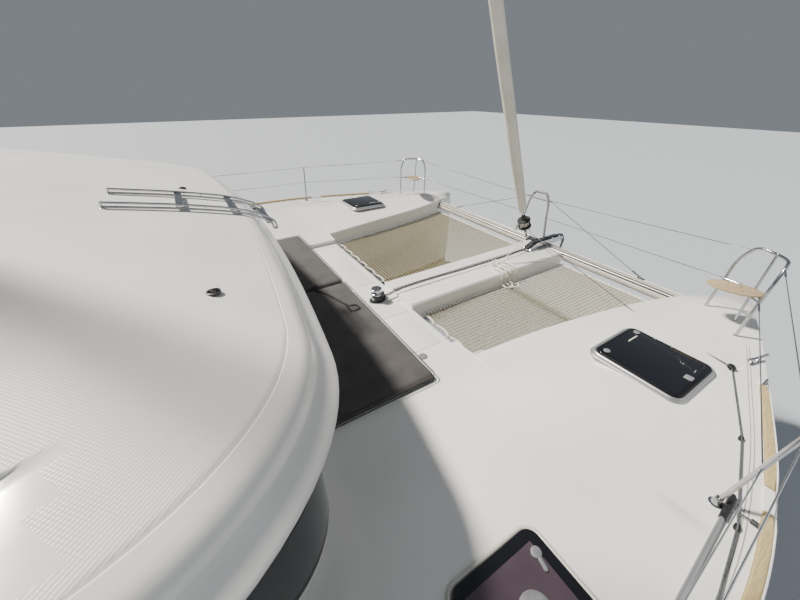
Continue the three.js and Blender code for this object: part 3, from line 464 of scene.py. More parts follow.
def rounded_corners(x0, x1, y0, y1, radius, steps=6):
    """A rectangle with rounded corners, as (x, y) points."""
    centres = [(x1 - radius, y1 - radius), (x0 + radius, y1 - radius)]
    centres += [(x0 + radius, y0 + radius), (x1 - radius, y0 + radius)]
    outline = []
    for corner, (x, y) in enumerate(centres):
        turns = [math.pi / 2 * (corner + i / steps) for i in range(steps + 1)]
        outline += [(x + radius * math.cos(t), y + radius * math.sin(t)) for t in turns]
    return outline


def slab(x, y, z, corner, edge, steps=6, rounds=3):
    """A plate with rounded corners and rounded top and bottom edges."""
    low, high = [], []
    for angle in quarter(rounds):
        inset, rise = edge * (1 - math.sin(angle)), edge * (1 - math.cos(angle))
        sides = (x[0] + inset, x[1] - inset, y[0] + inset, y[1] - inset)
        inner = rounded_corners(*sides, max(corner - inset, 0.0005), steps)
        low.append([(px, py, z[0] + rise) for px, py in inner])
        high.append([(px, py, z[1] - rise) for px, py in inner])
    return skin(low + high[::-1])


def pad(half_x, half_y, thick, place, corner=0.01):
    """A small rounded plate that stands on a place."""
    return placed(slab((-half_x, half_x), (-half_y, half_y), (0, thick), corner, 0.002, 4, 2), *place)


def prism(outline, axis, low, high):
    """A flat outline given a thickness along an axis; the outline is in the other two axes."""
    def at(a, b, level):
        return {"x": (level, a, b), "y": (a, level, b), "z": (a, b, level)}[axis]

    return skin([[at(a, b, level) for a, b in outline] for level in (low, high)])


def box_part(x, y, z):
    return prism([(y[0], z[0]), (y[1], z[0]), (y[1], z[1]), (y[0], z[1])], "x", *x)


# %% From a part to a piece
def tidied(mesh):
    """Merges doubles, drops faces without area and points all faces outwards."""
    shape = bmesh.new()
    shape.from_mesh(mesh)
    bmesh.ops.remove_doubles(shape, verts=shape.verts, dist=1e-5)
    bmesh.ops.dissolve_degenerate(shape, edges=shape.edges, dist=1e-6)
    bmesh.ops.recalc_face_normals(shape, faces=shape.faces)
    shape.to_mesh(mesh)
    shape.free()


def mesh_of(name, part):
    mesh = bpy.data.meshes.new(name)
    mesh.from_pydata(part[0], [], part[1])
    tidied(mesh)
    return mesh


def object_of(name, part):
    return add_to_scene(bpy.data.objects.new(name, mesh_of(name, part)))


def baked(obj):
    """What an object's modifiers make of it, as a mesh."""
    bpy.context.view_layer.update()
    return bpy.data.meshes.new_from_object(obj.evaluated_get(bpy.context.evaluated_depsgraph_get()))


def mirror_mesh(mesh):
    mesh.transform(Matrix.Scale(-1, 4, (0, 1, 0)))
    mesh.flip_normals()


def dressed(name, mesh, material, replaces=(), body="boat", sharp=38, slot=None):
    """Makes a mesh a piece of the boat. Edges sharper than the angle, in degrees, stay crisp."""
    obj = add_to_scene(bpy.data.objects.new(name, mesh))
    if material is not None:
        mesh.materials.clear()
        mesh.materials.append(material)
        slot = slot or SLOT_OF[material.name]
    mesh.polygons.foreach_set("use_smooth", [True] * len(mesh.polygons))
    mesh.set_sharp_from_angle(angle=math.radians(sharp))
    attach(obj, body)
    if replaces:
        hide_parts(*replaces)
    return obj


def piece(name, part, material, replaces=(), body="boat", sharp=38, slot=None):
    return dressed(name, mesh_of(name, part), material, replaces, body, sharp, slot)


def pair(name, part, material, replaces=(), body="boat", sharp=38):
    """The port piece, and its mirror image to starboard. {} in a name stands for the side."""
    for side, shape in (("port", part), ("starboard", port_to_starboard(part))):
        nodes = [node.format(side) for node in replaces]
        piece(name.format(side), shape, material, nodes, body.format(side), sharp)


def softened(name, node, width, material, body="boat", skip=None, sharp=38):
    """A copy of a solid with its hard edges rounded. skip(middle) leaves an edge as it is."""
    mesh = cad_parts[node].data.copy()
    # The import stores a normal for every corner, which no longer fits once edges are rounded.
    if "custom_normal" in mesh.attributes:
        mesh.attributes.remove(mesh.attributes["custom_normal"])
    shape = bmesh.new()
    shape.from_mesh(mesh)
    bmesh.ops.remove_doubles(shape, verts=shape.verts, dist=1e-5)
    bmesh.ops.dissolve_limit(shape, angle_limit=math.radians(1), verts=shape.verts, edges=shape.edges)
    hard = []
    for edge in shape.edges:
        if len(edge.link_faces) == 2 and edge.calc_face_angle(0) > math.radians(32):
            middle = (edge.verts[0].co + edge.verts[1].co) / 2
            if skip is None or not skip(middle):
                hard.append(edge)
    rounding = {
        "offset_type": "OFFSET", "segments": 3, "profile": 0.5, "affect": "EDGES", "clamp_overlap": True
    }
    bmesh.ops.bevel(shape, geom=hard, offset=width, **rounding)
    shape.to_mesh(mesh)
    shape.free()
    return dressed(name, mesh, material, [node], body, sharp)


print("helpers ready; the frame has", len(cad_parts), "nodes")

# %% [markdown]
# ## Hulls
# A hull is moulded in one piece with its side deck. Its shape follows a table of sections from stern
# to bow, so the mesh is lofted through many more sections, interpolated between those of the table.
# The side deck is raised above the middle of the boat, and forward of x = 3 m the inner side drops
# to the net. Stern steps, the well for the saloon and cockpit, and the rudder bore are cut by
# exact booleans. The starboard hull is the mirror image.

# %% Hull sections
# x, deck edge outboard, deck edge inboard, height of the inboard edge, centre, half width near the
# water, lowest point, height of the knee under the inboard edge, drop at the bow
SECTIONS = np.array(
    [
        [-6400, 3560, 1750, 1720, 2870, 430, 40, 800, 0],
        [-5800, 3640, 1620, 1720, 2880, 520, -80, 800, 0],
        [-5300, 3710, 1550, 1720, 2885, 560, -175, 800, 0],
        [-4000, 3800, 1550, 1720, 2900, 610, -400, 800, 0],
        [-2500, 3860, 1550, 1720, 2900, 640, -580, 800, 0],
        [-500, 3875, 1550, 1720, 2900, 650, -660, 800, 0],
        [1200, 3875, 1550, 1720, 2900, 640, -660, 800, 0],
        [2400, 3875, 1550, 1720, 2890, 600, -630, 800, 0],
        [3000, 3835, 1550, 1720, 2870, 560, -600, 800, 0],
        [3002, 3835, 1800, 1745, 2870, 560, -600, 900, 0],
        [3700, 3690, 1880, 1770, 2850, 500, -570, 1000, 0],
        [4500, 3445, 2010, 1780, 2820, 410, -520, 1120, 0],
        [5200, 3220, 2160, 1780, 2780, 300, -470, 1240, 0],
        [5800, 2990, 2360, 1780, 2740, 180, -420, 1340, 0],
        [6150, 2860, 2520, 1770, 2725, 95, -370, 1400, 20],
        [6340, 2785, 2635, 1765, 2718, 35, -280, 1420, 60],
        [6400, 2760, 2675, 1760, 2717, 12, -60, 1400, 100],
    ]
) * MM
FORE_STEP = 9
SPLIT_X = 3.001
DECK_Z = 1.86
DECK_EDGE = 0.014
INNER_ROUND = 0.03
KNUCKLE_Z = 0.7
BILGE_Z = 0.15


def section_at(x):
    """The table's row at x. The inboard side is stepped, so it comes from its own half."""
    unbroken = np.delete(SECTIONS, FORE_STEP, axis=0)
    whole = through(unbroken[:, 0], unbroken, [x])[0]
    half = SECTIONS[:FORE_STEP] if x < SPLIT_X else SECTIONS[FORE_STEP:]
    own = through(half[:, 0], half, [x])[0]
    for column in (2, 3, 7):
        whole[column] = own[column]
    return whole


def deck_edge_y(x):
    return float(section_at(x)[1])


def deck_line(row, inner_round):
    """The side deck across the boat, as (y, z), between its two rounded edges."""
    _, outer, inner, inner_z, *_ = row
    wide = outer - inner
    line = [(inner + inner_round, inner_z), (inner + 0.18 * wide, inner_z + 0.02)]
    return line + [(inner + 0.42 * wide, DECK_Z - 0.01), (outer - DECK_EDGE, DECK_Z)]


def topside_y(row, z):
    """How far out the hull's side is at a height between the bilge and the deck edge."""
    _, outer, _, _, centre, half, *_ = row
    knuckle = outer + 0.25 * (centre + half - outer)
    side = [(DECK_EDGE - DECK_Z, outer), (-KNUCKLE_Z, knuckle), (-BILGE_Z, centre + half)]
    return smooth_value(side, -z)


def hull_ring(x):
    row = section_at(x)
    _, outer, inner, inner_z, centre, half, keel, knee, drop = row
    reach = INNER_ROUND if x > SPLIT_X else 0.0005
    ring = [
        (inner + reach * (1 - math.sin(a)), inner_z - reach * (1 - math.cos(a))) for a in quarter(3)[::-1]
    ]
    deck = deck_line(row, reach)
    ring += [(y, smooth_value(deck, y)) for y in np.linspace(deck[0][0], deck[-1][0], 14)[1:]]
    for angle in quarter(3)[1:]:
        ring.append((outer - DECK_EDGE * (1 - math.sin(angle)), DECK_Z - DECK_EDGE * (1 - math.cos(angle))))
    ring += [(topside_y(row, z), z) for z in np.linspace(DECK_Z - DECK_EDGE, BILGE_Z, 10)[1:]]
    for angle in [math.pi * i / 14 for i in range(1, 14)]:
        ring.append((centre + half * math.cos(angle), BILGE_Z + (keel - BILGE_Z) * math.sin(angle)))
    waist_y, waist_z = centre - half - 0.02, 0.48
    ring += [(centre - half, BILGE_Z), (centre - half - 0.006, 0.3)]
    ring += [(waist_y + s * (inner - waist_y), waist_z + s * (knee - waist_z)) for s in (0, 0.35, 0.7, 0.94)]
    ring.append((inner, knee + 0.03))
    return [(x, y, z - drop * ramp(z, 0.6, 1.1)) for y, z in ring]


stations = list(np.linspace(-6.4, 2.9, 44)) + [3.0, 3.002, 3.05]
stations += list(np.linspace(3.2, 6.1, 24)) + [6.17, 6.24, 6.3, 6.345, 6.375, 6.39, 6.4]
hull_skin = skin([hull_ring(x) for x in stations])
print(len(hull_skin[0]), "points in the hull's skin")

# %% Keel and cutters
KEEL_Y = 2.9
# The thickness of a wing section is a sum of powers of the distance behind its front.
FOIL_TERMS = ((0.2969, 0.5), (-0.126, 1), (-0.3516, 2), (0.2843, 3), (-0.1015, 4))
# height, front, aft, half thickness
KEEL = (
    (-0.5, 1.5, -1.7, 0.15), (-0.9, 1.33, -1.56, 0.125), (-1.17, 1.22, -1.47, 0.1),
    (-1.22, 1.19, -1.44, 0.08), (-1.245, 1.14, -1.4, 0.045), (-1.25, 1.08, -1.34, 0.012),
)
RUDDER_AXIS = (-5.55, 2.885)


def foil(z, front, aft, half, y, count=14):
    """A wing section at height z, thickest a third of the way back."""
    side = []
    for i in range(count + 1):
        share = (1 - math.cos(math.pi * i / count)) / 2
        thick = 5.8 * sum(factor * share**power for factor, power in FOIL_TERMS)
        side.append((front - share * (front - aft), half * thick))
    outline = side + [(x, -dy) for x, dy in side[-2:0:-1]]
    return [(x, y + dy, z) for x, dy in outline]


def carved(name, part, adding=(), cutting=()):
    """A part joined with others, then cut by others, one exact boolean after another."""
    obj = object_of(name, part)
    for shape, operation in [(s, "UNION") for s in adding] + [(s, "DIFFERENCE") for s in cutting]:
        tool = object_of(name + "_tool", shape)
        modifier = obj.modifiers.new("carve", "BOOLEAN")
        modifier.object = tool
        modifier.operation = operation
        modifier.solver = "EXACT"
        result = baked(obj)
        obj.modifiers.clear()
        obj.data = result
        bpy.data.objects.remove(tool)
    bpy.data.objects.remove(obj)
    return result


sweep = prism([(-4.5, 2.1), (-4.5, 1.861), (-5.3, 1.42), (-6.45, 0.62), (-7, 0.62), (-7, 2.1)], "y", 0.0, 4.5)
STEPS = ((-4.5, 1.5), (-4.78, 1.15), (-5.06, 0.8), (-5.34, 0.45))
steps = [box_part((-7, front), (1.0, 3.43), (level, 2.5)) for front, level in STEPS]
well = box_part((-4.99, 1.28), (1.0, 2.2), (0.95, 2.5))
bore = turned([(0.0287, 0), (0.0287, 0.6)], (*RUDDER_AXIS, -0.5992), sides=48)
hull_mesh = carved(
    "hull", hull_skin, [skin([foil(*row, KEEL_Y) for row in KEEL])], [sweep, *steps, well, bore]
)
for side in ("port", "starboard"):
    shell = hull_mesh.copy()
    if side == "starboard":
        mirror_mesh(shell)
    dressed(f"{side}_hull", shell, hull_paint, [f"hull_{side}"], sharp=24)
print(len(hull_mesh.polygons), "faces in a hull")

# %% [markdown]
# ## Roof
# The roof is a large dome with a narrow lip around it. The lip rises from its rim to a crease, where
# the shoulder of the dome starts. It is built as a stack of rounded outlines, each with its height
# and its distance in from the rim. A fine groove parts the glossy shoulder from the grip panel, and
# along each side the shoulder runs level while the panel keeps climbing, so a step grows there.

# %% Roof surface
ROOF = {"front": 1.7, "aft": -5.5, "half": 3.13, "front_corner": 0.95, "aft_corner": 0.42, "edge": 2.74}
ROOF_CROWN = 0.175
ROOF_BOW = 0.03
ROOF_CAMBER = 0.012
TIGHTENING = 0.32
CLIMB = {"slope": 0.185, "even": 2.2, "easing": 3.0}
SIDE_STEP = {"inset": 0.51, "start": 0.66, "slope": 0.18, "deepest": 0.12}
SEAM = 0.186
GROOVE = 0.003
CORNER_STEPS = 18
SIDE_STEPS = 26


def roof_lift(x):
    run = max(ROOF["front"] - x, 0)
    eased = min(max(run - CLIMB["even"], 0), CLIMB["easing"])
    return CLIMB["slope"] * (min(run, CLIMB["even"]) + eased - eased**2 / (2 * CLIMB["easing"]))


def roof_top_z(x):
    return ROOF["edge"] + ROOF_CROWN + roof_lift(x)


def roof_outline(front, aft, half, front_corner, aft_corner):
    corners = [(front, half, front_corner, 0, 1, 1), (aft, half, aft_corner, 90, -1, 1)]
    corners += [(aft, -half, aft_corner, 180, -1, -1), (front, -half, front_corner, 270, 1, -1)]
    arcs = []
    for x, y, radius, start, sign_x, sign_y in corners:
        x, y = x - sign_x * radius, y - sign_y * radius
        angles = [math.radians(start + 90 * i / CORNER_STEPS) for i in range(CORNER_STEPS + 1)]
        arcs.append([(x + radius * math.cos(a), y + radius * math.sin(a)) for a in angles])
    shares = [i / (SIDE_STEPS + 1) for i in range(1, SIDE_STEPS + 1)]
    outline = []
    for arc, following in zip(arcs, arcs[1:] + arcs[:1]):
        (x0, y0), (x1, y1) = arc[-1], following[0]
        outline += arc + [(x0 + (x1 - x0) * s, y0 + (y1 - y0) * s) for s in shares]
    return outline


lower_side = [p[:2] for p in fair([(0.15, -0.24, 0), (0.06, -0.12, 0), (0.006, -0.02, 0), (0, 0, 0)], 0.03)]
lip = [(0.004, 0.005), (0.012, 0.012), (0.046, 0.036), (0.07, 0.055), (0.08, 0.064)]
DOME = [
    (0.084, 0.07), (0.092, 0.094), (0.116, 0.124), (0.17, 0.142), (0.27, 0.152), (0.5, 0.166),
    (1.3, 0.175), (2.1, 0.175), (2.95, 0.175),
]
dome = fair([(inset, height, 0) for inset, height in DOME], 0.016)
step_inset = SIDE_STEP["inset"]
insets = [p[0] for p in dome if p[0] < SEAM - 0.012]
insets += [SEAM - 0.004, SEAM, SEAM + 0.003, SEAM + 0.007, 0.21, 0.24, 0.28, 0.33, 0.38, 0.43, 0.47]
insets += [step_inset - 0.008, step_inset, step_inset + 0.008, step_inset + 0.03]
insets += [0.58, 0.66, 0.8, 1.0, 1.3, 1.7, 2.1, 2.5, 2.95]
grooved = [GROOVE if SEAM - 0.001 < inset < SEAM + 0.004 else 0 for inset in insets]
levels = lower_side + lip
levels += [(inset, straight_value(dome, inset) - groove) for inset, groove in zip(insets, grooved)]


def side_drop(x, inset):
    """How far the shoulder lies below the dome, outboard of the step."""
    if inset > step_inset - 0.004:
        return 0
    wedge = min(max((SIDE_STEP["start"] - x) * SIDE_STEP["slope"], 0), SIDE_STEP["deepest"])
    return wedge * ramp(x, -5.3, 1.5) * ramp(inset, 0.09, 0.2)


def roof_ring(inset, height):
    corners = [max(r - inset * TIGHTENING, 0.06) for r in (ROOF["front_corner"], ROOF["aft_corner"])]
    ends = (ROOF["front"] - inset, ROOF["aft"] + inset, ROOF["half"] - inset)
    ring = []
    for x, y in roof_outline(*ends, *corners):
        forward = (x - ROOF["aft"]) / (ROOF["front"] - ROOF["aft"])
        bowed = x - ROOF_BOW * y * y * forward
        level = ROOF["edge"] + height + roof_lift(bowed) - ROOF_CAMBER * y * y
        ring.append((bowed, y, max(level - side_drop(bowed, inset), 2.5 + roof_lift(bowed))))
    return ring


def strips(first, size):
    """Closes a rounded outline with strips from side to side, so that a curved end stays smooth."""
    front_axis = size - SIDE_STEPS // 2
    order = [(front_axis + i) % size for i in range(size // 2)]
    pairs = [(i, (2 * front_axis - 1 - i) % size) for i in order]
    return [[first + a, first + c, first + d, first + b] for (a, b), (c, d) in zip(pairs, pairs[1:])]


roof_points, roof_faces = skin([roof_ring(*level) for level in levels], closed=False)
ring_size = len(roof_points) // len(levels)
grip_from = next(i for i, level in enumerate(levels) if level[0] >= SEAM + 0.006)
finish_of_face = []
for number, face in enumerate(roof_faces):
    row = number // ring_size
    middle_x = sum(roof_points[i][0] for i in face) / 4
    beside_step = levels[row][0] < step_inset and middle_x < SIDE_STEP["start"] + 0.04
    finish_of_face.append(1 if row >= grip_from and not beside_step else 0)
ends = [strips(0, ring_size), strips((len(levels) - 1) * ring_size, ring_size)]
roof_mesh = bpy.data.meshes.new("roof_moulding")
roof_mesh.from_pydata(roof_points, [], roof_faces + ends[0] + ends[1])
finish_of_face += [0] * len(ends[0]) + [1] * len(ends[1])
roof_mesh.polygons.foreach_set("material_index", finish_of_face)
tidied(roof_mesh)
roof_mesh.materials.append(gelcoat)
roof_mesh.materials.append(grip_gelcoat)
dressed("roof_moulding", roof_mesh, None, ["roof"], sharp=30, slot="gelcoat")
print(len(levels), "outlines in the roof,", len(roof_mesh.polygons), "faces")

# %% [markdown]
# ## Cabin, bridge deck and furniture
# These are large flat mouldings, so each one is a copy of its solid with rounded edges. Where the
# bridge deck meets the hulls the two are laminated into one surface, so its edges there stay sharp
# and the joint doesn't show.
# The windows are panes of smoked acrylic, bonded to the outside of the wall with a black border that
# hides the glue. A pane follows the line of the wall round its corner.

# %% Softened mouldings
BRIDGE_SIDE = 1.5497


def joins_hull(middle):
    return abs(abs(middle.y) - BRIDGE_SIDE) < 0.002


def at_the_sole(middle):
    """The bulkhead's foot stands on the sole, and the door's sill there is only a few mm high."""
    return middle.z < 1.0


softened("bridge_deck_moulding", "bridge_deck", 0.012, gelcoat, skip=joins_hull)
softened("cabin_side_moulding", "cabin_wall", 0.006, gelcoat, sharp=24)
softened("aft_bulkhead_moulding", "aft_bulkhead", 0.006, gelcoat, skip=at_the_sole)
softened("galley_moulding", "galley_counter", 0.02, gelcoat)
softened("cockpit_bench_moulding", "cockpit_bench", 0.03, gelcoat)
softened("helm_console_moulding", "helm_console", 0.035, gelcoat)
softened("flybridge_seat_moulding", "flybridge_seat", 0.04, gelcoat)
softened("cockpit_table_board", "cockpit_table", 0.012, teak)
for side in ("port", "starboard"):
    softened(f"roof_post_{side}_tube", f"roof_post_{side}", 0.002, anodised, sharp=30)
for side in ("port", "starboard"):
    softened(f"{side}_locker_cover", f"locker_lid_{side}", 0.006, grip_gelcoat, f"{side}_locker_lid")
print("mouldings softened")

# %% Windows
CABIN = {"front": 1.35, "half": 2.8, "corner": 0.48}
PANE = {"thick": 0.008, "proud": 0.0015, "corner": 0.07, "border": 0.045}
ARC_START = CABIN["half"] - CABIN["corner"]
ARC_END = ARC_START + CABIN["corner"] * math.pi / 2
AMIDSHIPS = ARC_END + CABIN["front"] - CABIN["corner"]
# name, runs from the middle of the front, heights of the sill and of the head at both ends
WINDOWS = [
    ("front", (0.02, 1.21), (1.96, 1.96), (2.47, 2.47)),
    ("corner", (1.25, ARC_END + 0.135), (1.96, 1.96), (2.47, 2.47)),
    ("side", (ARC_END + 0.2, AMIDSHIPS + 2.28), (2.03, 2.30), (2.50, 2.81)),
]


def wall_point(run, out):
    """A point on the wall's line, measured from the middle of the front, and moved out from it."""
    if run < ARC_START:
        return CABIN["front"] + out, run
    if run < ARC_END:
        angle = (run - ARC_START) / CABIN["corner"]
        reach = CABIN["corner"] + out
        return CABIN["front"] - CABIN["corner"] + reach * math.cos(angle), ARC_START + reach * math.sin(angle)
    return CABIN["front"] - CABIN["corner"] - (run - ARC_END), CABIN["half"] + out


def pane(runs, sills, heads, inset, out, thick):
    """A bent pane between two runs; its sill and head heights change evenly along it."""
    low, high = runs[0] + inset, runs[1] - inset
    corner = max(PANE["corner"] - inset * 0.6, 0.02)
    ends = [corner * (1 - math.cos(angle)) for angle in quarter(6)]
    spots = [low + end for end in ends] + list(np.linspace(low + corner, high - corner, 40)[1:-1])
    spots += [high - end for end in ends[::-1]]
    rings = []
    for spot in spots:
        edge = max(corner - (spot - low), corner - (high - spot), 0)
        cut = inset + corner - math.sqrt(max(corner**2 - edge**2, 0))
        heights = np.linspace(np.interp(spot, runs, sills) + cut, np.interp(spot, runs, heads) - cut, 6)
        outside = [(*wall_point(spot, out + thick), float(z)) for z in heights]
        rings.append(outside + [(*wall_point(spot, out), float(z)) for z in heights[::-1]])
    return skin(rings)


for name, *shape in WINDOWS:
    border = pane(*shape, 0, PANE["proud"], PANE["thick"])
    glass = pane(*shape, PANE["border"], PANE["proud"] + PANE["thick"] - 0.0005, 0.0015)
    pair(name + "_window_{}_border", border, black_border, [name + "_window_{}"], sharp=50)
    pair(name + "_window_{}_pane", glass, smoked_acrylic, sharp=50)
print("windows made, the wall's line is", round(AMIDSHIPS, 2), "m long to amidships")

# %% Door and galley window
DOOR = {"y": (-1.17, -0.03), "z": (0.9653, 2.79), "x": (-2.682, -2.646), "frame": 0.06}


def framed(name, x, y, z, width, body="boat"):
    """A pane in a frame of four bars, standing across the boat."""
    inner_y, inner_z = (y[0] + width, y[1] - width), (z[0] + width, z[1] - width)
    bars = [(y, (z[0], inner_z[0])), (y, (inner_z[1], z[1]))]
    bars += [((y[0], inner_y[0]), inner_z), ((inner_y[1], y[1]), inner_z)]
    piece(name + "_frame", joined(*[box_part(x, *bar) for bar in bars]), anodised, [name], body)
    middle = (x[0] + x[1]) / 2
    lap = ((inner_y[0] - 0.01, inner_y[1] + 0.01), (inner_z[0] - 0.01, inner_z[1] + 0.01))
    piece(name + "_glass", box_part((middle - 0.004, middle + 0.004), *lap), smoked_acrylic, body=body)


framed("saloon_door", DOOR["x"], DOOR["y"], DOOR["z"], DOOR["frame"], "sliding_door")
framed("galley_window", (-2.63, -2.605), (0.1503, 1.3497), (1.8503, 2.6997), 0.035)
HANDLE = [(-2.683, 1.75), (-2.705, 1.77), (-2.71, 1.9), (-2.705, 2.03), (-2.683, 2.05)]
handle = tube(fair([(x, -0.075, z) for x, z in HANDLE], 0.03), 0.009)
piece("saloon_door_handle", handle, stainless, body="sliding_door")

# %% [markdown]
# ## Hull windows, stern treads and bench slats
# Slim smoked panes light the cabins from the topsides. The stern steps and the bench carry teak.
# Slats repeat at an even spacing along a line, which is what Geometry Nodes are for: a tree puts a
# copy of an object at points along a line, turned to follow it.

# %% A tree that repeats an object along a line
REPEAT_INPUTS = [
    ("Line", "Geometry"), ("Item", "Object"), ("Spacing", "Float"), ("Roll Every Other", "Float")
]


def new_tree(name, inputs):
    """A tree with those inputs, a finish and one output; returns it and its inputs' sockets."""
    tree = bpy.data.node_groups.new(name, "GeometryNodeTree")
    for label, kind in [*inputs, ("Finish", "Material")]:
        tree.interface.new_socket(label, in_out="INPUT", socket_type="NodeSocket" + kind)
    tree.interface.new_socket("Geometry", in_out="OUTPUT", socket_type="NodeSocketGeometry")
    return tree, add_node(tree, "NodeGroupInput").outputs


def finished(tree, geometry, material):
    """Turns instances into a mesh, gives it its finish and leads it to the tree's output."""
    real = add_node(tree, "GeometryNodeRealizeInstances", {"Geometry": geometry.outputs[0]})
    painted = add_node(tree, "GeometryNodeSetMaterial", {"Geometry": real.outputs[0], "Material": material})
    add_node(tree, "NodeGroupOutput", {"Geometry": painted.outputs[0]})


repeat_tree, given = new_tree("repeat_along_line", REPEAT_INPUTS)
line = add_node(repeat_tree, "GeometryNodeMeshToCurve", {"Mesh": given["Line"]})
even = {"Curve": line.outputs[0], "Length": given["Spacing"]}
spots = add_node(repeat_tree, "GeometryNodeResampleCurve", even, mode="LENGTH")
tangent = add_node(repeat_tree, "GeometryNodeInputTangent")
facing = add_node(repeat_tree, "FunctionNodeAlignEulerToVector", {"Vector": tangent.outputs[0]}, axis="X")
number = add_node(repeat_tree, "GeometryNodeInputIndex")
odd = maths(repeat_tree, "MODULO", number.outputs[0], 2.0)
extra = maths(repeat_tree, "MULTIPLY", odd, given["Roll Every Other"])
roll = add_node(repeat_tree, "ShaderNodeCombineXYZ", {"X": extra})
turning = {"Rotation": facing.outputs[0], "Rotate By": roll.outputs[0]}
rolled = add_node(repeat_tree, "FunctionNodeRotateEuler", turning, space="LOCAL")
item = add_node(repeat_tree, "GeometryNodeObjectInfo", {"Object": given["Item"]})
copying = {"Points": spots.outputs[0], "Instance": item.outputs["Geometry"], "Rotation": rolled.outputs[0]}
finished(repeat_tree, add_node(repeat_tree, "GeometryNodeInstanceOnPoints", copying), given["Finish"])


def grown(name, tree, points, edges, **inputs):
    """Runs a tree on a mesh of points and edges, and returns what it makes as a plain mesh."""
    base = bpy.data.meshes.new(name + "_base")
    base.from_pydata(points, edges, [])
    holder = add_to_scene(bpy.data.objects.new(name + "_base", base))
    modifier = holder.modifiers.new("grow", "NODES")
    modifier.node_group = tree
    for socket in tree.interface.items_tree:
        if socket.in_out == "INPUT" and socket.name in inputs:
            modifier[socket.identifier] = inputs[socket.name]
    mesh = baked(holder)
    mesh.name = name
    bpy.data.objects.remove(holder)
    return mesh


def repeated(name, path, item_part, spacing, material, every_other=0.0, sharp=38):
    """Copies of a small part along a line of points, with the part's X along the line."""
    item_object = object_of(name + "_item", item_part)
    edges = [(i, i + 1) for i in range(len(path) - 1)]
    inputs = {"Item": item_object, "Spacing": spacing, "Roll Every Other": every_other, "Finish": material}
    mesh = grown(name, repeat_tree, path, edges, **inputs)
    bpy.data.objects.remove(item_object)
    return dressed(name, mesh, material, sharp=sharp)


print("repeat tree has", len(repeat_tree.nodes), "nodes")

# %% Slats, treads and hull windows
BENCH = {"x": -4.905, "y": (-1.43, 0.94), "z": 1.4003}
# x from and to, height
TREADS = ((-4.76, -4.53, 1.5), (-5.04, -4.81, 1.15), (-5.32, -5.09, 0.8), (-6.2, -5.37, 0.45))
HULL_WINDOWS = ((-2.3, -0.9), (0.2, 1.5))
HULL_WINDOW_Z = (1.12, 1.36)

slat = slab((-0.02, 0.02), (-0.2, 0.2), (0.0, 0.014), 0.006, 0.003, 2, 2)
bench_line = [(BENCH["x"], y, BENCH["z"]) for y in BENCH["y"]]
repeated("cockpit_bench_slats", bench_line, slat, 0.052, teak)
treads = []
for x0, x1, z in TREADS:
    sides = (2.26 if z > 0.94 else 2.3, 3.4 if z > 0.5 else 3.3)
    treads.append(slab((x0 + 0.02, x1), sides, (z + 0.0003, z + 0.008), 0.02, 0.002, 4, 2))
pair("{}_stern_treads", joined(*treads), teak)


def side_pane(x0, x1, z0, z1, thick):
    """A pane on the topside with fully rounded ends."""
    radius, middle = (z1 - z0) / 2, (z0 + z1) / 2
    ends = [radius * (1 - math.cos(angle)) for angle in quarter(10)[:-1]]
    spots = [x0 + end for end in ends] + list(np.linspace(x0 + radius, x1 - radius, 14))
    rings = []
    for x in spots + [x1 - end for end in ends[::-1]]:
        inward = max(x0 + radius - x, x - x1 + radius, 0)
        tall = math.sqrt(max(radius**2 - inward**2, 1e-6))
        row = section_at(x)
        face = [(x, topside_y(row, z), z) for z in [middle + tall * share for share in (-1, -0.5, 0, 0.5, 1)]]
        back = [(x, y - 0.004, z) for x, y, z in face[::-1]]
        rings.append([(x, y + thick, z) for x, y, z in face] + back)
    return skin(rings)


hull_panes = [side_pane(*run, *HULL_WINDOW_Z, 0.003) for run in HULL_WINDOWS]
pair("{}_hull_windows", joined(*hull_panes), smoked_acrylic)
print("slats, treads and hull windows made")

# %% [markdown]
# ## Deck hatches
# Each hatch is a smoked acrylic lid in an aluminium frame with a rounded section, screwed to a low
# plinth of the deck. A black border is printed on the acrylic. The fore hatches look nearly black;
# through the cabin hatches one sees the cabin's light wood, so those look brown. Handles, knobs
# and a vent sit on the lids and turn with them.

# %% Hatches
HATCHES = {"fore": (3.8, 4.44, 2.43, 3.11), "cabin": (1.64, 2.21, 3.06, 3.6)}
LID_Z = (1.8843, 1.906)
FRAME_TOP = 1.8838
HATCH_CORNER = 0.075
TOP = LID_Z[1] + 0.0004
# The frame's section, as distance out from the lid's opening and height.
FRAME_SECTION = [
    (0.036, 1.85), (0.034, 1.866), (0.026, 1.8715), (0.02, 1.874), (0.017, 1.884), (0.011, 1.8915),
    (0.003, 1.895),
    (-0.004, 1.893), (-0.0085, 1.889), (-0.0105, FRAME_TOP), (-0.05, FRAME_TOP), (-0.052, 1.862),
    (-0.052, 1.85),
    (0.036, 1.85),
]
KNOB = [(0, 0), (0.024, 0), (0.027, 0.002), (0.027, 0.007), (0.023, 0.0105), (0.012, 0.0115), (0, 0.0115)]
VENT = [(0, 0), (0.074, 0), (0.078, 0.003), (0.078, 0.008), (0.07, 0.013), (0.03, 0.016), (0, 0.0165)]


def grown_box(box, outset):
    return box[0] - outset, box[1] + outset, box[2] - outset, box[3] + outset


def hatch_frame(box):
    rings = []
    for outset, z in FRAME_SECTION:
        outline = rounded_corners(*grown_box(box, outset), max(HATCH_CORNER + outset, 0.004), 8)
        rings.append([(x, y, z) for x, y in outline])
    return skin(rings, closed=False)


def lid_part(box, inset, z, edge):
    x0, x1, y0, y1 = grown_box(box, -inset)
    return slab((x0, x1), (y0, y1), z, HATCH_CORNER - inset, edge, 8, 3)


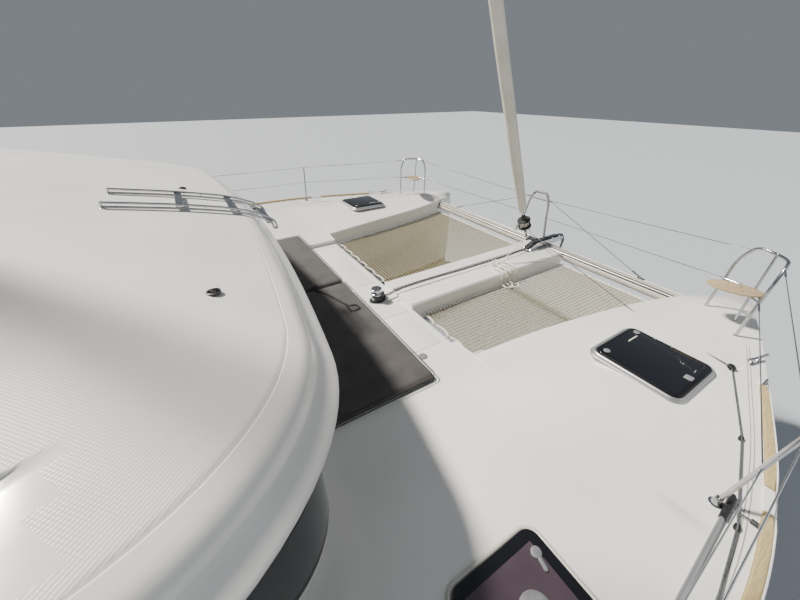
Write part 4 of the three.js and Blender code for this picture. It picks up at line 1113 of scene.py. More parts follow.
def lever(x0, y0, x1, y1, width=0.012, rise=0.009):
    """A flat grip between two points on a lid, with rounded ends."""
    length = math.hypot(x1 - x0, y1 - y0)
    bar = slab((0, length), (-width / 2, width / 2), (TOP, TOP + rise), width * 0.49, 0.003, 5, 2)
    return placed(bar, x0, y0, 0, math.atan2(y1 - y0, x1 - x0))


for name, box in HATCHES.items():
    hatch, cabin_hatch = "{}_" + name, name == "cabin"
    lid_body = hatch + "_lid"
    pair(hatch + "_hatch_frame", hatch_frame(box), lacquered if cabin_hatch else anodised)
    lid = lid_part(box, 0.0125, LID_Z, 0.004)
    pair(hatch + "_hatch_lid", lid, black_border, [name + "_hatch_{}"], lid_body, 50)
    window = lid_part(box, 0.07 if cabin_hatch else 0.045, (LID_Z[1] - 0.0005, LID_Z[1] + 0.0006), 0.0004)
    pair(hatch + "_hatch_pane", window, tinted_acrylic if cabin_hatch else smoked_acrylic, (), lid_body, 50)

aft, front, inner, outer = HATCHES["fore"]
knobs = [turned(KNOB, (x, inner + 0.085, TOP)) for x in (front - 0.075, aft + 0.075)]
latch = slab((aft + 0.28, aft + 0.34), (outer - 0.1, outer - 0.04), (TOP, TOP + 0.008), 0.012, 0.003)
pair("{}_fore_hatch_knobs", joined(*knobs, latch), grey_plastic, body="{}_fore_lid")
fore_grip = lever(front - 0.13, inner + 0.115, aft + 0.37, inner + 0.115)
pair("{}_fore_hatch_grip", fore_grip, lacquered, body="{}_fore_lid")

aft, front, inner, outer = HATCHES["cabin"]
middle = ((aft + front) / 2, (inner + outer) / 2)
handles = [turned(VENT, (middle[0] + 0.02, middle[1], TOP), sides=40)]
for y, way in ((inner, 1), (outer, -1)):
    handles.append(turned(KNOB, (front - 0.085, y + 0.12 * way, TOP)))
    handles.append(lever(front - 0.085, y + 0.125 * way, front - 0.105, y + 0.2 * way, 0.02))
pair("{}_cabin_hatch_handles", joined(*handles), grey_plastic, body="{}_cabin_lid")
holes = []
for dx, dy in ((0.05, -0.012), (0.05, 0.012), (-0.03, -0.04), (-0.03, 0.04)):
    x, y = middle[0] + dx, middle[1] + dy
    holes.append(
        slab((x, x + 0.008), (y - 0.004, y + 0.004), (TOP + 0.012, TOP + 0.0155), 0.0038, 0.0005, 4, 1)
    )
pair("{}_cabin_vent_holes", joined(*holes), black_plastic, body="{}_cabin_lid")
print("hatches made")

# %% [markdown]
# ## Padded cushions
# The sun cushion is foam in a dark coated cloth, in two sections that meet just to port of the
# middle. Each section is remeshed finely, blown up a little by a cloth simulation, and then gets
# its piping and straps, which the remesh would erase. The saloon cushions are made the same way.

# %% A padded block
PRESSURE = 4.0
CLOTH_FRAMES = 20
PAD_EDGE = 0.03


def points_of(mesh):
    flat = np.empty(len(mesh.vertices) * 3, np.float32)
    mesh.vertices.foreach_get("co", flat)
    return flat.reshape(-1, 3)


def blow_up(obj, cap, low, high):
    """Presses a cushion outwards as cloth. No point moves by more than cap or leaves the box."""
    cloth = obj.modifiers.new("cloth", "CLOTH")
    cloth.settings.use_pressure = True
    cloth.settings.uniform_pressure_force = PRESSURE
    cloth.settings.effector_weights.gravity = 0
    cloth.settings.quality = 5
    cloth.point_cache.frame_start = 1
    cloth.point_cache.frame_end = CLOTH_FRAMES
    for number in range(1, CLOTH_FRAMES + 1):
        bpy.context.scene.frame_set(number)
    before = points_of(obj.data)
    shift = points_of(obj.evaluated_get(bpy.context.evaluated_depsgraph_get()).data) - before
    length = np.linalg.norm(shift, axis=1, keepdims=True)
    shift *= np.minimum(1, cap / np.maximum(length, 1e-9))
    after = np.clip(before + shift, np.array(low, np.float32), np.array(high, np.float32))
    obj.modifiers.clear()
    obj.data.vertices.foreach_set("co", after.ravel())
    bpy.context.scene.frame_set(1)


def padded_block(name, x, y, z, corner, material, cap, voxel, replaces=()):
    """A cushion blown up from a rounded block; cap is the most that a point may move."""
    room = cap * 0.6
    sides = ((x[0] + room, x[1] - room), (y[0] + room, y[1] - room), (z[0], z[1] - room))
    obj = object_of(name, slab(*sides, corner, PAD_EDGE, 6, 4))
    remesh = obj.modifiers.new("even", "REMESH")
    remesh.mode = "VOXEL"
    remesh.voxel_size = voxel
    obj.data = baked(obj)
    obj.modifiers.clear()
    blow_up(obj, cap, (x[0], y[0], z[0]), (x[1], y[1], np.inf))
    smooth = obj.modifiers.new("smooth", "SUBSURF")
    smooth.levels = 1
    smooth.render_levels = 1
    mesh = obj.data
    mesh.materials.clear()
    mesh.materials.append(material)
    mesh.polygons.foreach_set("use_smooth", [True] * len(mesh.polygons))
    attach(obj, "boat")
    if replaces:
        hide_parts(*replaces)
    return obj


SUN_X, SUN_Y, SUN_Z = (1.4, 2.525), (-1.885, 1.885), (1.7206, 1.806)
SUN_SEAM = 0.05
PAD_GAP = 0.004
PIPING_INSET = 0.012
sections = [("starboard", SUN_Y[0], SUN_SEAM - PAD_GAP), ("port", SUN_SEAM + PAD_GAP, SUN_Y[1])]
for side, y0, y1 in sections:
    replaced = ["sun_cushion"] if side == "starboard" else []
    padded_block(f"sun_cushion_{side}", SUN_X, (y0, y1), SUN_Z, 0.05, cushion_cloth, 0.012, 0.018, replaced)
    inner = grown_box((*SUN_X, y0, y1), -PIPING_INSET)
    loops = []
    for level in (SUN_Z[0] + 0.012, SUN_Z[1] - 0.014):
        outline = rounded_corners(*inner, 0.045)
        loops.append(tube([(x, y, level) for x, y in outline + outline[:1]], 0.005, 8))
    piece(f"sun_cushion_piping_{side}", joined(*loops), cushion_cloth)


def strap(points, width, thick=0.0025):
    """Flat webbing along a line of points, lying level."""
    path = [Vector(p) for p in points]
    rings = []
    for here, way in zip(path, ways_along(path)):
        side = Vector((-way.y, way.x, 0)).normalized() * width / 2
        low = [here - side, here + side]
        rings.append([tuple(p) for p in low] + [tuple(p + Vector((0, 0, thick))) for p in low[::-1]])
    return skin(rings)


strap_z = SUN_Z[1] + 0.004
long_strap = [
    (2.17, 0.1, strap_z), (2.13, 0.04, strap_z + 0.001), (2.2, -0.2, strap_z), (2.31, -0.55, strap_z)
]
hook_strap = [(2.31, -0.54, strap_z), (2.38, -0.56, strap_z + 0.004), (2.39, -0.64, strap_z + 0.004)]
hook_strap.append((2.31, -0.66, strap_z))
cross_strap = [(2.29, y, strap_z + 0.0005) for y in (-0.5, -0.67)]
straps = joined(
    strap(fair(long_strap, 0.05), 0.03), strap(fair(hook_strap, 0.03), 0.022), strap(cross_strap, 0.022)
)
piece("sun_cushion_straps", straps, webbing, slot="cushion_fabric")

SETTEE_Y = (0.31, 2.18)
SETTEE_Z = 1.38
seat_z, back_z = (1.25, SETTEE_Z + 0.004), (SETTEE_Z + 0.01, 1.7)
settee = ["saloon_settee"]
padded_block("settee_seat_cushion", (-0.2, 1.12), SETTEE_Y, seat_z, 0.04, saloon_cloth, 0.012, 0.025, settee)
padded_block("settee_back_cushion", (1.135, 1.265), SETTEE_Y, back_z, 0.03, saloon_cloth, 0.01, 0.02)
piece("settee_base", slab((-0.2, 1.26), SETTEE_Y, (0.9505, 1.245), 0.02, 0.006, 4, 2), gelcoat)
print("cushions made, simulated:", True)

# %% [markdown]
# ## Nets between the hulls
# The two nets are knotted from thin cord in a square mesh of about 48 mm. A net is built from the
# cords themselves: lines along the boat and lines across it, cut off where the hull's edge runs. A
# geometry nodes tree gives every line its thickness, a little waviness and a knot at each crossing.
# A white border rope runs round each net, and a lacing ties it to the hull and the beams.

# %% A tree that knots a net
CORD_RADIUS = 0.0054
KNOT_RADIUS = 0.009
WAVINESS = 0.008

net_tree, given = new_tree("knotted_net", [("Lines", "Geometry")])
noise = add_node(net_tree, "ShaderNodeTexNoise", {"Scale": 3.5, "Detail": 2.0})
off_centre = {0: noise.outputs["Color"], 1: (0.5, 0.5, 0.5)}
centred = add_node(net_tree, "ShaderNodeVectorMath", off_centre, operation="SUBTRACT")
small = {0: centred.outputs[0], "Scale": WAVINESS}
wave = add_node(net_tree, "ShaderNodeVectorMath", small, operation="SCALE")
wavy = add_node(net_tree, "GeometryNodeSetPosition", {"Geometry": given["Lines"], "Offset": wave.outputs[0]})
cords = add_node(net_tree, "GeometryNodeMeshToCurve", {"Mesh": wavy.outputs[0]})
section = add_node(net_tree, "GeometryNodeCurvePrimitiveCircle", {"Resolution": 5, "Radius": CORD_RADIUS})
round_cords = {"Curve": cords.outputs[0], "Profile Curve": section.outputs[0]}
cord_mesh = add_node(net_tree, "GeometryNodeCurveToMesh", round_cords)
crossings = add_node(
    net_tree, "GeometryNodeMergeByDistance", {"Geometry": wavy.outputs[0], "Distance": 0.002}
)
knot = add_node(net_tree, "GeometryNodeMeshIcoSphere", {"Radius": KNOT_RADIUS, "Subdivisions": 1})
on_crossings = {"Points": crossings.outputs[0], "Instance": knot.outputs[0]}
knots = add_node(net_tree, "GeometryNodeInstanceOnPoints", on_crossings)
whole_net = add_node(net_tree, "GeometryNodeJoinGeometry")
net_tree.links.new(cord_mesh.outputs[0], whole_net.inputs[0])
net_tree.links.new(knots.outputs[0], whole_net.inputs[0])
finished(net_tree, whole_net, given["Finish"])
print("net tree has", len(net_tree.nodes), "nodes")

# %% Nets, border ropes and lacing
NET_Z = 1.55
NET_CELL = 0.048
INNER_EDGE = {"port": -0.1197, "starboard": 0.7803}
CORNER_GAP = {"port": 0.05, "starboard": 0.16}
NET_AFT, NET_FRONT = 3.004, 5.771
AFT_BORDER = NET_AFT + 0.13
FRONT_BORDER = NET_FRONT - 0.035
INNER_GAP = 0.02
OUTER_GAP = 0.028
TIE_STEP = 0.26
LASHING = 0.0048


def inboard_edge(x):
    """Where the hull's inboard face stands beside a net."""
    return float(section_at(x)[2]) - 0.0003


def drawn_in(distance, depth):
    """How far the border rope is drawn in between two ties."""
    return depth * abs(math.sin(math.pi * distance / TIE_STEP))


def aft_border(y, inner):
    return AFT_BORDER + drawn_in(y - inner, 0.032)


def outer_border(x, corner_gap):
    near = math.exp(-(x - NET_AFT) / 0.5)
    return inboard_edge(x) - OUTER_GAP - corner_gap * near - drawn_in(x - AFT_BORDER, 0.008 + 0.05 * near)


def net_lines(inner, corner_gap):
    """Points and edges of the cords of a net that reaches from inner to the port hull."""
    xs = np.linspace(AFT_BORDER + NET_CELL, FRONT_BORDER, round((FRONT_BORDER - AFT_BORDER) / NET_CELL))
    ys = np.arange(inner + INNER_GAP, 2.4, NET_CELL)
    lines = []
    for x in xs:
        limit = outer_border(x, corner_gap)
        lines.append([(x, y) for y in ys if y < limit - 0.006] + [(x, limit)])
    for y in ys:
        tried = np.arange(aft_border(y, inner), FRONT_BORDER, 0.01)
        starts = [x for x in tried if y < outer_border(x, corner_gap)]
        if starts:
            lines.append([(starts[0], y)] + [(x, y) for x in xs if x > starts[0] + 0.004])
    points, edges = [], []
    for line in lines:
        first = len(points)
        points += [(float(x), float(y), NET_Z) for x, y in line]
        edges += [(first + i, first + i + 1) for i in range(len(line) - 1)]
    return points, edges


def net_border(inner, corner_gap):
    """The border rope's line: along the aft edge, outboard, the front and back inboard."""
    y0, corner = inner + INNER_GAP, outer_border(AFT_BORDER, corner_gap)
    line = [(aft_border(y, inner), y) for y in np.linspace(y0, corner, 80)]
    line += [(x, outer_border(x, corner_gap)) for x in np.linspace(AFT_BORDER, FRONT_BORDER, 120)[1:]]
    line += [(FRONT_BORDER, y) for y in np.linspace(line[-1][1], y0, 30)[1:]]
    line += [(x, y0) for x in np.linspace(FRONT_BORDER, aft_border(y0, inner), 30)[1:]]
    return [(float(x), float(y), NET_Z) for x, y in line]


def net_ties(inner, corner_gap):
    """Short lashings from the border rope to the deck and the hull, and a lacing on the other sides."""
    ties = []
    for y in np.arange(inner + TIE_STEP, outer_border(AFT_BORDER, corner_gap), TIE_STEP):
        for shift in (-0.012, 0.012):
            ends = [(AFT_BORDER + 0.01, y - shift, NET_Z + 0.006), (2.998, y + shift, NET_Z + 0.045)]
            ties.append(tube(ends, LASHING, 8))
    for x in np.arange(AFT_BORDER, NET_FRONT - 0.1, TIE_STEP):
        start = (x, outer_border(x, corner_gap) - 0.01, NET_Z + 0.007)
        ties.append(tube([start, (x + 0.012, inboard_edge(x) + 0.004, NET_Z + 0.03)], LASHING, 8))
    front, inside = [], []
    for i, y in enumerate(np.arange(inner + 0.06, inboard_edge(FRONT_BORDER) - 0.05, 0.07)):
        front.append((FRONT_BORDER - 0.006 if i % 2 else NET_FRONT + 0.002, y, NET_Z + 0.007))
    for i, x in enumerate(np.arange(3.2, 5.7, 0.09)):
        inside.append((x, inner + (INNER_GAP + 0.004 if i % 2 else -0.002), NET_Z + 0.007))
    return joined(*ties, tube(front, 0.004, 6), tube(inside, 0.004, 6))


for side in ("port", "starboard"):
    edge = (INNER_EDGE[side], CORNER_GAP[side])
    mesh = grown(f"{side}_net", net_tree, *net_lines(*edge), Finish=net_cord)
    border = tube(net_border(*edge), 0.0095, 8)
    ties = net_ties(*edge)
    if side == "starboard":
        mirror_mesh(mesh)
        border, ties = port_to_starboard(border), port_to_starboard(ties)
    dressed(f"{side}_net", mesh, net_cord, [f"net_{side}"], sharp=60)
    piece(f"{side}_net_border", border, rope_white)
    piece(f"{side}_net_ties", ties, rope_white)
    print(side, "net:", len(mesh.polygons), "faces")

# %% [markdown]
# ## Crossbeam, longeron and chain
# The crossbeam is an aluminium extrusion with grooves along it, in which the nets' slides run. Black strips
# laid in the grooves are painted shade.
# The longeron is moulded, with a channel in its top for the anchor chain. Chain links are closed
# loops of round bar; each is turned a quarter against the one before it.

# %% Crossbeam, longeron and chain
BEAM = {"x": 5.87, "z": 1.655, "half_x": 0.095, "half_z": 0.08, "reach": 2.44}
GROOVES = (0.85, 1.3, 1.75, 2.2, 2.65)
GROOVE_HALF = 0.12
GROOVE_DEPTH = 0.016
CHANNEL_Y = -0.41
LINK_BAR = 0.0053
LINK_PITCH = 0.03
CHAIN = [
    (2.7, -0.43, 1.718), (2.745, -0.446, 1.718), (2.85, -0.43, 1.718), (3.0, -0.412, 1.728),
    (4.2, CHANNEL_Y, 1.731), (5.2, CHANNEL_Y, 1.741), (5.36, CHANNEL_Y, 1.752), (5.44, CHANNEL_Y, 1.785),
    (5.485, CHANNEL_Y, 1.828),
]

outline = []
for angle in circle(96):
    depth = GROOVE_DEPTH if any(abs(angle - groove) < GROOVE_HALF for groove in GROOVES) else 0.0
    outline.append(((BEAM["half_x"] - depth) * math.cos(angle), (BEAM["half_z"] - depth) * math.sin(angle)))
beam_rings = []
for y in np.linspace(-BEAM["reach"], BEAM["reach"], 9):
    beam_rings.append([(BEAM["x"] + x, y, BEAM["z"] + z) for x, z in outline])
piece("crossbeam_spar", skin(beam_rings), lacquered, ["crossbeam"], sharp=30)
# Black strips down in the grooves: painted shade of the grooves, not parts of the beam.
groove_shade_strips = []
for groove in GROOVES:
    x, z = BEAM["x"] + 0.081 * math.cos(groove), BEAM["z"] + 0.066 * math.sin(groove)
    groove_shade_strips.append(tube([(x, y, z) for y in (-2.43, 2.43)], 0.0085, 6))
piece("crossbeam_tracks", joined(*groove_shade_strips), black_plastic, slot="anodised_spar")
groove_rope = []
for y in np.linspace(-2.33, 2.33, 80):
    groove_rope.append((5.7788 + 0.003 * math.sin(y * 9), float(y), 1.672 + 0.006 * math.sin(y * 5)))
piece("crossbeam_rope", tube(groove_rope, 0.006, 8), rope_white)
softened("longeron_moulding", "longeron", 0.008, gelcoat)


def closed_loop(path, radius, sides=8):
    """A round bar bent into a flat closed loop."""
    flat = Vector((0, 0, 1))
    rings = []
    for before, here, after in zip(path[-1:] + path[:-1], path, path[1:] + path[:1]):
        across = (Vector(after) - Vector(before)).normalized().cross(flat)
        rings.append(round_ring(Vector(here), across, flat, radius, sides))
    return skin(rings + rings[:1], closed=False)


link_line = rounded_corners(-0.0203, 0.0203, -0.0146, 0.0146, 0.0143, 4)
link = closed_loop([(x, y, 0.0) for x, y in link_line], LINK_BAR)
# The chain's grey is darker than bare zinc: painted shade of its channel.
repeated("anchor_chain", fair(CHAIN, 0.02), link, LINK_PITCH, galvanised, math.pi / 2, 60)
print("beams and chain made")

# %% [markdown]
# ## Furler and rolled genoa
# The forestay carries the rolled genoa. At its foot is the furling drum: two black plates and a
# spool wound with line, inside a cage of bars. The rolled sail is lofted with a spiral edge, as the
# leech of a real roll winds round it, and with shallow lengthwise creases.

# %% Furler and rolled genoa
TACK = Vector((5.86, 0, 1.715))
HEAD = Vector((-0.89, 0, 16.2))
STAY = (HEAD - TACK).normalized()
STAY_SIDE = Vector((0, 1, 0))
STAY_OTHER = STAY.cross(STAY_SIDE)
ACROSS = (0, 1, 0)
DRUM = [
    (0, 0.205), (0.1, 0.205), (0.1045, 0.209), (0.1045, 0.222), (0.1, 0.226), (0.06, 0.228), (0.05, 0.235),
    (0.05, 0.325), (0.06, 0.332), (0.1, 0.334), (0.1045, 0.338), (0.1045, 0.347), (0.1, 0.351),
    (0.045, 0.354),
    (0.032, 0.372), (0.032, 0.43), (0.026, 0.445), (0, 0.445),
]
STAY_FOOT = [(0, 0.0), (0.018, 0.0), (0.018, 0.075), (0.012, 0.085), (0.012, 0.205), (0, 0.205)]
STAY_NUT = [(0, 0.1), (0.024, 0.1), (0.026, 0.104), (0.026, 0.15), (0.024, 0.154), (0, 0.154)]
SWIVEL = [(0, 14.78), (0.026, 14.78), (0.028, 14.8), (0.028, 14.9), (0.018, 14.93), (0, 14.93)]
COIL_TURNS = 9
# distance along the stay, radius of the rolled sail
GENOA = [(0.52, 0.058), (0.8, 0.066), (1.4, 0.079), (4.0, 0.077), (9.0, 0.066), (14.7, 0.03), (14.76, 0.014)]


def along_stay(distance, radius=0.0, angle=0.0):
    return tuple(
        TACK + STAY * distance + (STAY_SIDE * math.cos(angle) + STAY_OTHER * math.sin(angle)) * radius
    )


bars = []
for angle in circle(6):
    bars.append(tube([along_stay(d, 0.0985, angle + 0.3) for d in (0.212, 0.28, 0.344)], 0.005, 8))
cage = joined(turned(DRUM, TACK, STAY, 40), *bars)
piece("furler_drum_cage", cage, black_plastic, ["furler_drum"], slot="anodised_spar")
foot = joined(
    turned(STAY_FOOT, TACK, STAY), rod(0.018, 0.44, 0.52, TACK, STAY),
    rod(0.011, -0.03, 0.03, along_stay(0.05), ACROSS, 16), turned(STAY_NUT, TACK, STAY, 6),
)
piece("forestay_foot", foot, stainless)
coils = []
for i in range(COIL_TURNS * 24 + 1):
    share = i / (COIL_TURNS * 24)
    reach = 0.0575 + 0.006 * math.sin(share * 9)
    coils.append(along_stay(0.238 + 0.084 * share, reach, math.tau * COIL_TURNS * share))
piece("furler_line_coils", tube(coils, 0.0052, 6), rope_white)

genoa_rings = []
for distance in np.concatenate([[0.52, 0.53], np.linspace(0.6, 14.7, 150), [14.74]]):
    reach = straight_value(GENOA, distance)
    ring = []
    for angle in circle(42):
        wound = ((angle + distance * 1.9) % math.tau) / math.tau
        crease = 0.01 * math.sin(5 * angle + distance * 2.3) + 0.012 * math.sin(3 * angle - distance * 5.1)
        ring.append(along_stay(distance, reach * (0.955 + 0.05 * wound + crease), angle))
    genoa_rings.append(ring)
piece("rolled_genoa", skin(genoa_rings), sailcloth, ["furled_genoa"], sharp=50)
top_stay = tube([along_stay(14.7), along_stay((HEAD - TACK).length)], 0.009, 10)
piece("forestay_head", joined(top_stay, turned(SWIVEL, TACK, STAY)), stainless)
print("furler and genoa made")

# %% [markdown]
# ## Striker, windlass, roller and anchor
# The striker is the braced arch in front of the crossbeam that holds the forestay's pull; a stay
# runs from each of its shoulders to the beam. The windlass has a dark oval base, a chain wheel, and
# a chrome drum with a flat cap. The anchor lies on its roller with the blade under the bow.

# %% Striker and its stays
LEG_COLLAR = [(0, 0), (0.026, 0), (0.026, 0.03), (0.022, 0.036), (0, 0.036)]
TURNBUCKLE = [(0, 0), (0.007, 0), (0.011, 0.02), (0.011, 0.14), (0.006, 0.16), (0, 0.16)]
STAY_END = [(0, 0), (0.008, 0), (0.008, 0.06), (0.005, 0.08), (0, 0.08)]
ARCH = [
    (6.012, -0.14, 2.385), (6.015, -0.1, 2.425), (6.015, 0, 2.432), (6.015, 0.1, 2.425), (6.012, 0.14, 2.385)
]

legs, stays = [], []
for way in (-1, 1):
    knots = [(5.925, 0.3 * way, 1.72), (5.985, 0.215 * way, 2.06), (6.008, 0.168 * way, 2.32)]
    legs.append(tube(fair([*knots, (6.013, 0.13 * way, 2.4)], 0.03), 0.019, 16))
    legs.append(pad(0.045, 0.035, 0.008, (5.918, 0.3 * way, 1.716), 0.012))
    legs.append(turned(LEG_COLLAR, (5.925, 0.3 * way, 1.722), (0.17, -0.24 * way, 1)))
    start, end = Vector((6.008, 0.168 * way, 2.35)), Vector((5.905, 1.85 * way, 1.737))
    stays.append(tube([start, end], 0.0045, 8))
    stays.append(turned(TURNBUCKLE, end, start - end, 14))
    stays.append(turned(STAY_END, start, end - start, 12))
    stays.append(pad(0.03, 0.045, 0.006, (5.9, 1.85 * way, 1.7295)))
piece("striker_legs", joined(*legs), anodised, ["striker"])
shoulder = tube([(6.008, -0.165, 2.33), (6.008, 0.165, 2.33)], 0.0135, 14)
piece("striker_top", joined(tube(fair(ARCH, 0.015), 0.0205, 16), shoulder), grey_plastic)
piece("striker_stays", joined(*stays), stainless)
print("striker made")

# %% Windlass
WINDLASS = (2.74, -0.39)
# height, radius
GYPSY = (
    (1.681, 0.045), (1.684, 0.062), (1.691, 0.068), (1.7, 0.058), (1.708, 0.05), (1.716, 0.048),
    (1.724, 0.05), (1.732, 0.058), (1.74, 0.066), (1.745, 0.064), (1.75, 0.05),
)
CAPSTAN = [
    (0, 1.75), (0.06, 1.75), (0.066, 1.753), (0.066, 1.758), (0.052, 1.764), (0.043, 1.775), (0.041, 1.79),
    (0.043, 1.806), (0.052, 1.816), (0.0625, 1.819), (0.064, 1.822), (0.064, 1.828), (0.06, 1.831),
    (0.03, 1.8325), (0.028, 1.8365), (0.024, 1.84), (0, 1.8405),
]

base_rings = []
for scale, z in ((0.99, 1.6603), (1.0, 1.664), (1.0, 1.672), (0.96, 1.679), (0.86, 1.682)):
    oval = ellipse(0.108 * scale, 0.078 * scale, 48, WINDLASS[0] + 0.012 * scale, WINDLASS[1])
    base_rings.append([(x, y, z) for x, y in oval])
piece("windlass_base", skin(base_rings), black_plastic, ["windlass"])
gypsy = []
for z, reach in GYPSY:
    pockets = 0.004 if 1.695 < z < 1.735 else 0.0
    ring = []
    for angle in circle(40):
        radius = reach + pockets * math.cos(angle * 5)
        ring.append((WINDLASS[0] + radius * math.cos(angle), WINDLASS[1] + radius * math.sin(angle), z))
    gypsy.append(ring)
stripper = []
for x, y, top in (((0.03, 0.118), (-0.02, 0.03), 1.712), ((0.05, 0.12), (0.02, 0.05), 1.735)):
    stripper.append(placed(slab(x, y, (1.681, top), 0.008, 0.003, 4, 2), *WINDLASS, 0))
piece("windlass_gypsy", joined(skin(gypsy), *stripper), galvanised)
piece("windlass_drum", turned(CAPSTAN, (*WINDLASS, 0), sides=48), stainless)
deck_pads = []
for x in (2.97, 2.86):
    deck_pads.append(slab((x - 0.035, x + 0.035), (-0.54, -0.5), (1.6602, 1.668), 0.014, 0.003, 5, 2))
piece("chain_stopper_pads", joined(*deck_pads), rope_white, slot="gelcoat")
print("windlass made")

# %% Bow roller and anchor
WHEEL_AXIS = (6.15, CHANNEL_Y, 1.776)
SHANK_Z = 1.8103
CHEEK = [
    (5.38, 1.736), (6.06, 1.736), (6.12, 1.745), (6.17, 1.752), (6.188, 1.776), (6.17, 1.81), (6.08, 1.824),
    (5.55, 1.824), (5.4, 1.76),
]
ROLLER = [
    (0, -0.05), (0.03, -0.05), (0.034, -0.046), (0.034, -0.04), (0.02, -0.012), (0.02, 0.012), (0.034, 0.04),
    (0.034, 0.046), (0.03, 0.05), (0, 0.05),
]
# The shank's outline, its heights counted from the line it lies on.
SHANK = [
    (5.484, 0.012), (5.49, 0.025), (6.17, 0.028), (6.235, 0.008), (6.285, -0.04), (6.328, -0.122),
    (6.29, -0.322), (6.255, -0.318), (6.278, -0.13), (6.222, -0.038), (6.16, 0.0), (5.488, 0.0),
]
FLUKE = [(6.378, 0.0), (6.366, 0.045), (6.3, 0.13), (6.2, 0.163), (6.08, 0.17), (6.052, 0.09), (6.04, 0.0)]
STIFFENER = [(6.1, 1.492), (6.26, 1.56), (6.3, 1.56), (6.36, 1.492)]


def beside_channel(near, far):
    return CHANNEL_Y + near, CHANNEL_Y + far


roller_frame = [prism(CHEEK, "y", *beside_channel(way * 0.0545, way * 0.0605)) for way in (-1, 1)]
roller_frame.append(box_part((5.382, 6.1), beside_channel(-0.0545, 0.0545), (1.7365, 1.742)))
roller_frame.append(slab((5.384, 5.738), beside_channel(-0.094, 0.094), (1.7204, 1.7366), 0.02, 0.003, 4, 2))
roller_frame.append(rod(0.011, -0.068, 0.068, WHEEL_AXIS, ACROSS, 6))
roller_frame.append(rod(0.006, -0.066, 0.066, (6.02, CHANNEL_Y, 1.8), ACROSS, 12))
piece("bow_roller_frame", joined(*roller_frame), stainless, ["bow_roller"])
piece("bow_roller_wheel", turned(ROLLER, WHEEL_AXIS, ACROSS, 28), black_plastic)
shank = prism([(x, SHANK_Z + z) for x, z in SHANK], "y", *beside_channel(-0.0095, 0.0095))
shackle = rod(0.007, -0.02, 0.02, (5.5, CHANNEL_Y, SHANK_Z + 0.012), ACROSS, 10)
fluke_rings = []
for x, half in FLUKE:
    dished = [(half * s, 0.022 * abs(s) ** 1.5 * min(half / 0.17, 1)) for s in (-1, -0.5, 0, 0.5, 1)]
    upper = [(x, CHANNEL_Y + y, 1.4965 + rise) for y, rise in dished]
    fluke_rings.append(upper + [(x, CHANNEL_Y + y, 1.4885 + rise) for y, rise in dished[::-1]])
stiffener = prism(STIFFENER, "y", *beside_channel(-0.009, 0.009))
anchor = joined(shank, shackle, skin(fluke_rings), stiffener)
piece("anchor_casting", anchor, galvanised, ["anchor"])
print("bow roller and anchor made")

# %% [markdown]
# ## Pulpits, rails and lines
# Pulpits, stanchions and ladder are bent from polished stainless tube; welded joints show a small
# bead. The toe rail is a teak strip with a white edge, interrupted beside a stanchion and by the
# fairleads. The lines along the deck are in use and taut, so they are drawn as thin round ropes.

# %% Pulpits and their seats
HOOP = [
    (5.58, 2.63, 1.79), (5.59, 2.65, 2.15), (5.597, 2.688, 2.47), (5.588, 2.745, 2.56), (5.53, 2.9, 2.572),
    (5.44, 2.985, 2.572), (5.31, 3.018, 2.56), (5.25, 3.022, 2.48), (5.205, 3.015, 2.15), (5.19, 3.01, 1.83),
]
BRACE = [(5.588, 2.645, 2.2), (5.5, 2.9, 2.205), (5.4, 2.97, 2.205), (5.21, 3.016, 2.2)]
MIDDLE_LEG = [(5.48, 2.91, 1.82), (5.505, 2.905, 2.2), (5.53, 2.9, 2.565)]
SEAT = (5.385, 2.79)
SEAT_TURN = -0.35
BOLT_HEAD = [(0, 0), (0.011, 0), (0.009, 0.003), (0, 0.0035)]


def bent(knots, radius, sides=14, step=0.025):
    """A bent tube through a few knots."""
    return tube(fair(knots, step), radius, sides)


def bead(place, radius):
    """A weld bead, or a small ball, at a place."""
    profile = [(radius * math.sin(t), -radius * math.cos(t)) for t in np.linspace(0, math.pi, 9)]
    return turned(profile, place, sides=14)


def foot_socket(place, radius, tall=0.035):
    profile = [(0, 0), (radius * 2.5, 0), (radius * 2.5, 0.004), (radius * 1.5, 0.008), (radius * 1.3, tall)]
    return turned([*profile, (0, tall)], place, sides=24)


pulpit = joined(
    bent(HOOP, 0.0138), bent(BRACE, 0.0108, 12), bent(MIDDLE_LEG, 0.0118),
    tube([(5.588, 2.65, 2.195), (5.3, 2.99, 2.195)], 0.01, 12),
    bead(BRACE[0], 0.0145), bead(BRACE[-1], 0.0145), bead((5.53, 2.9, 2.572), 0.0155),
    foot_socket((5.58, 2.63, 1.783), 0.0138), foot_socket((5.19, 3.01, 1.836), 0.0138),
    foot_socket((5.48, 2.91, 1.825), 0.0118),
)
pair("{}_pulpit", pulpit, stainless, ["pulpit_{}"])
seat_rings = []
for scale, z in ((0.965, 2.2052), (0.99, 2.208), (1.0, 2.2125), (1.0, 2.217), (0.99, 2.221), (0.965, 2.2238)):
    seat_rings.append([(x, y, z) for x, y in ellipse(0.13 * scale, 0.215 * scale, 56)])
pair("{}_pulpit_seat", placed(skin(seat_rings), *SEAT, 0, SEAT_TURN), seat_board, ["pulpit_seat_{}"])
seat_bolts = []
for dx, dy in ((-0.05, 0.07), (0.05, -0.07), (0.06, 0.03)):
    seat_bolts.append(turned(BOLT_HEAD, (SEAT[0] + dx, SEAT[1] + dy, 2.2236), sides=14))
pair("{}_pulpit_seat_bolts", joined(*seat_bolts), stainless)
print("pulpits made")

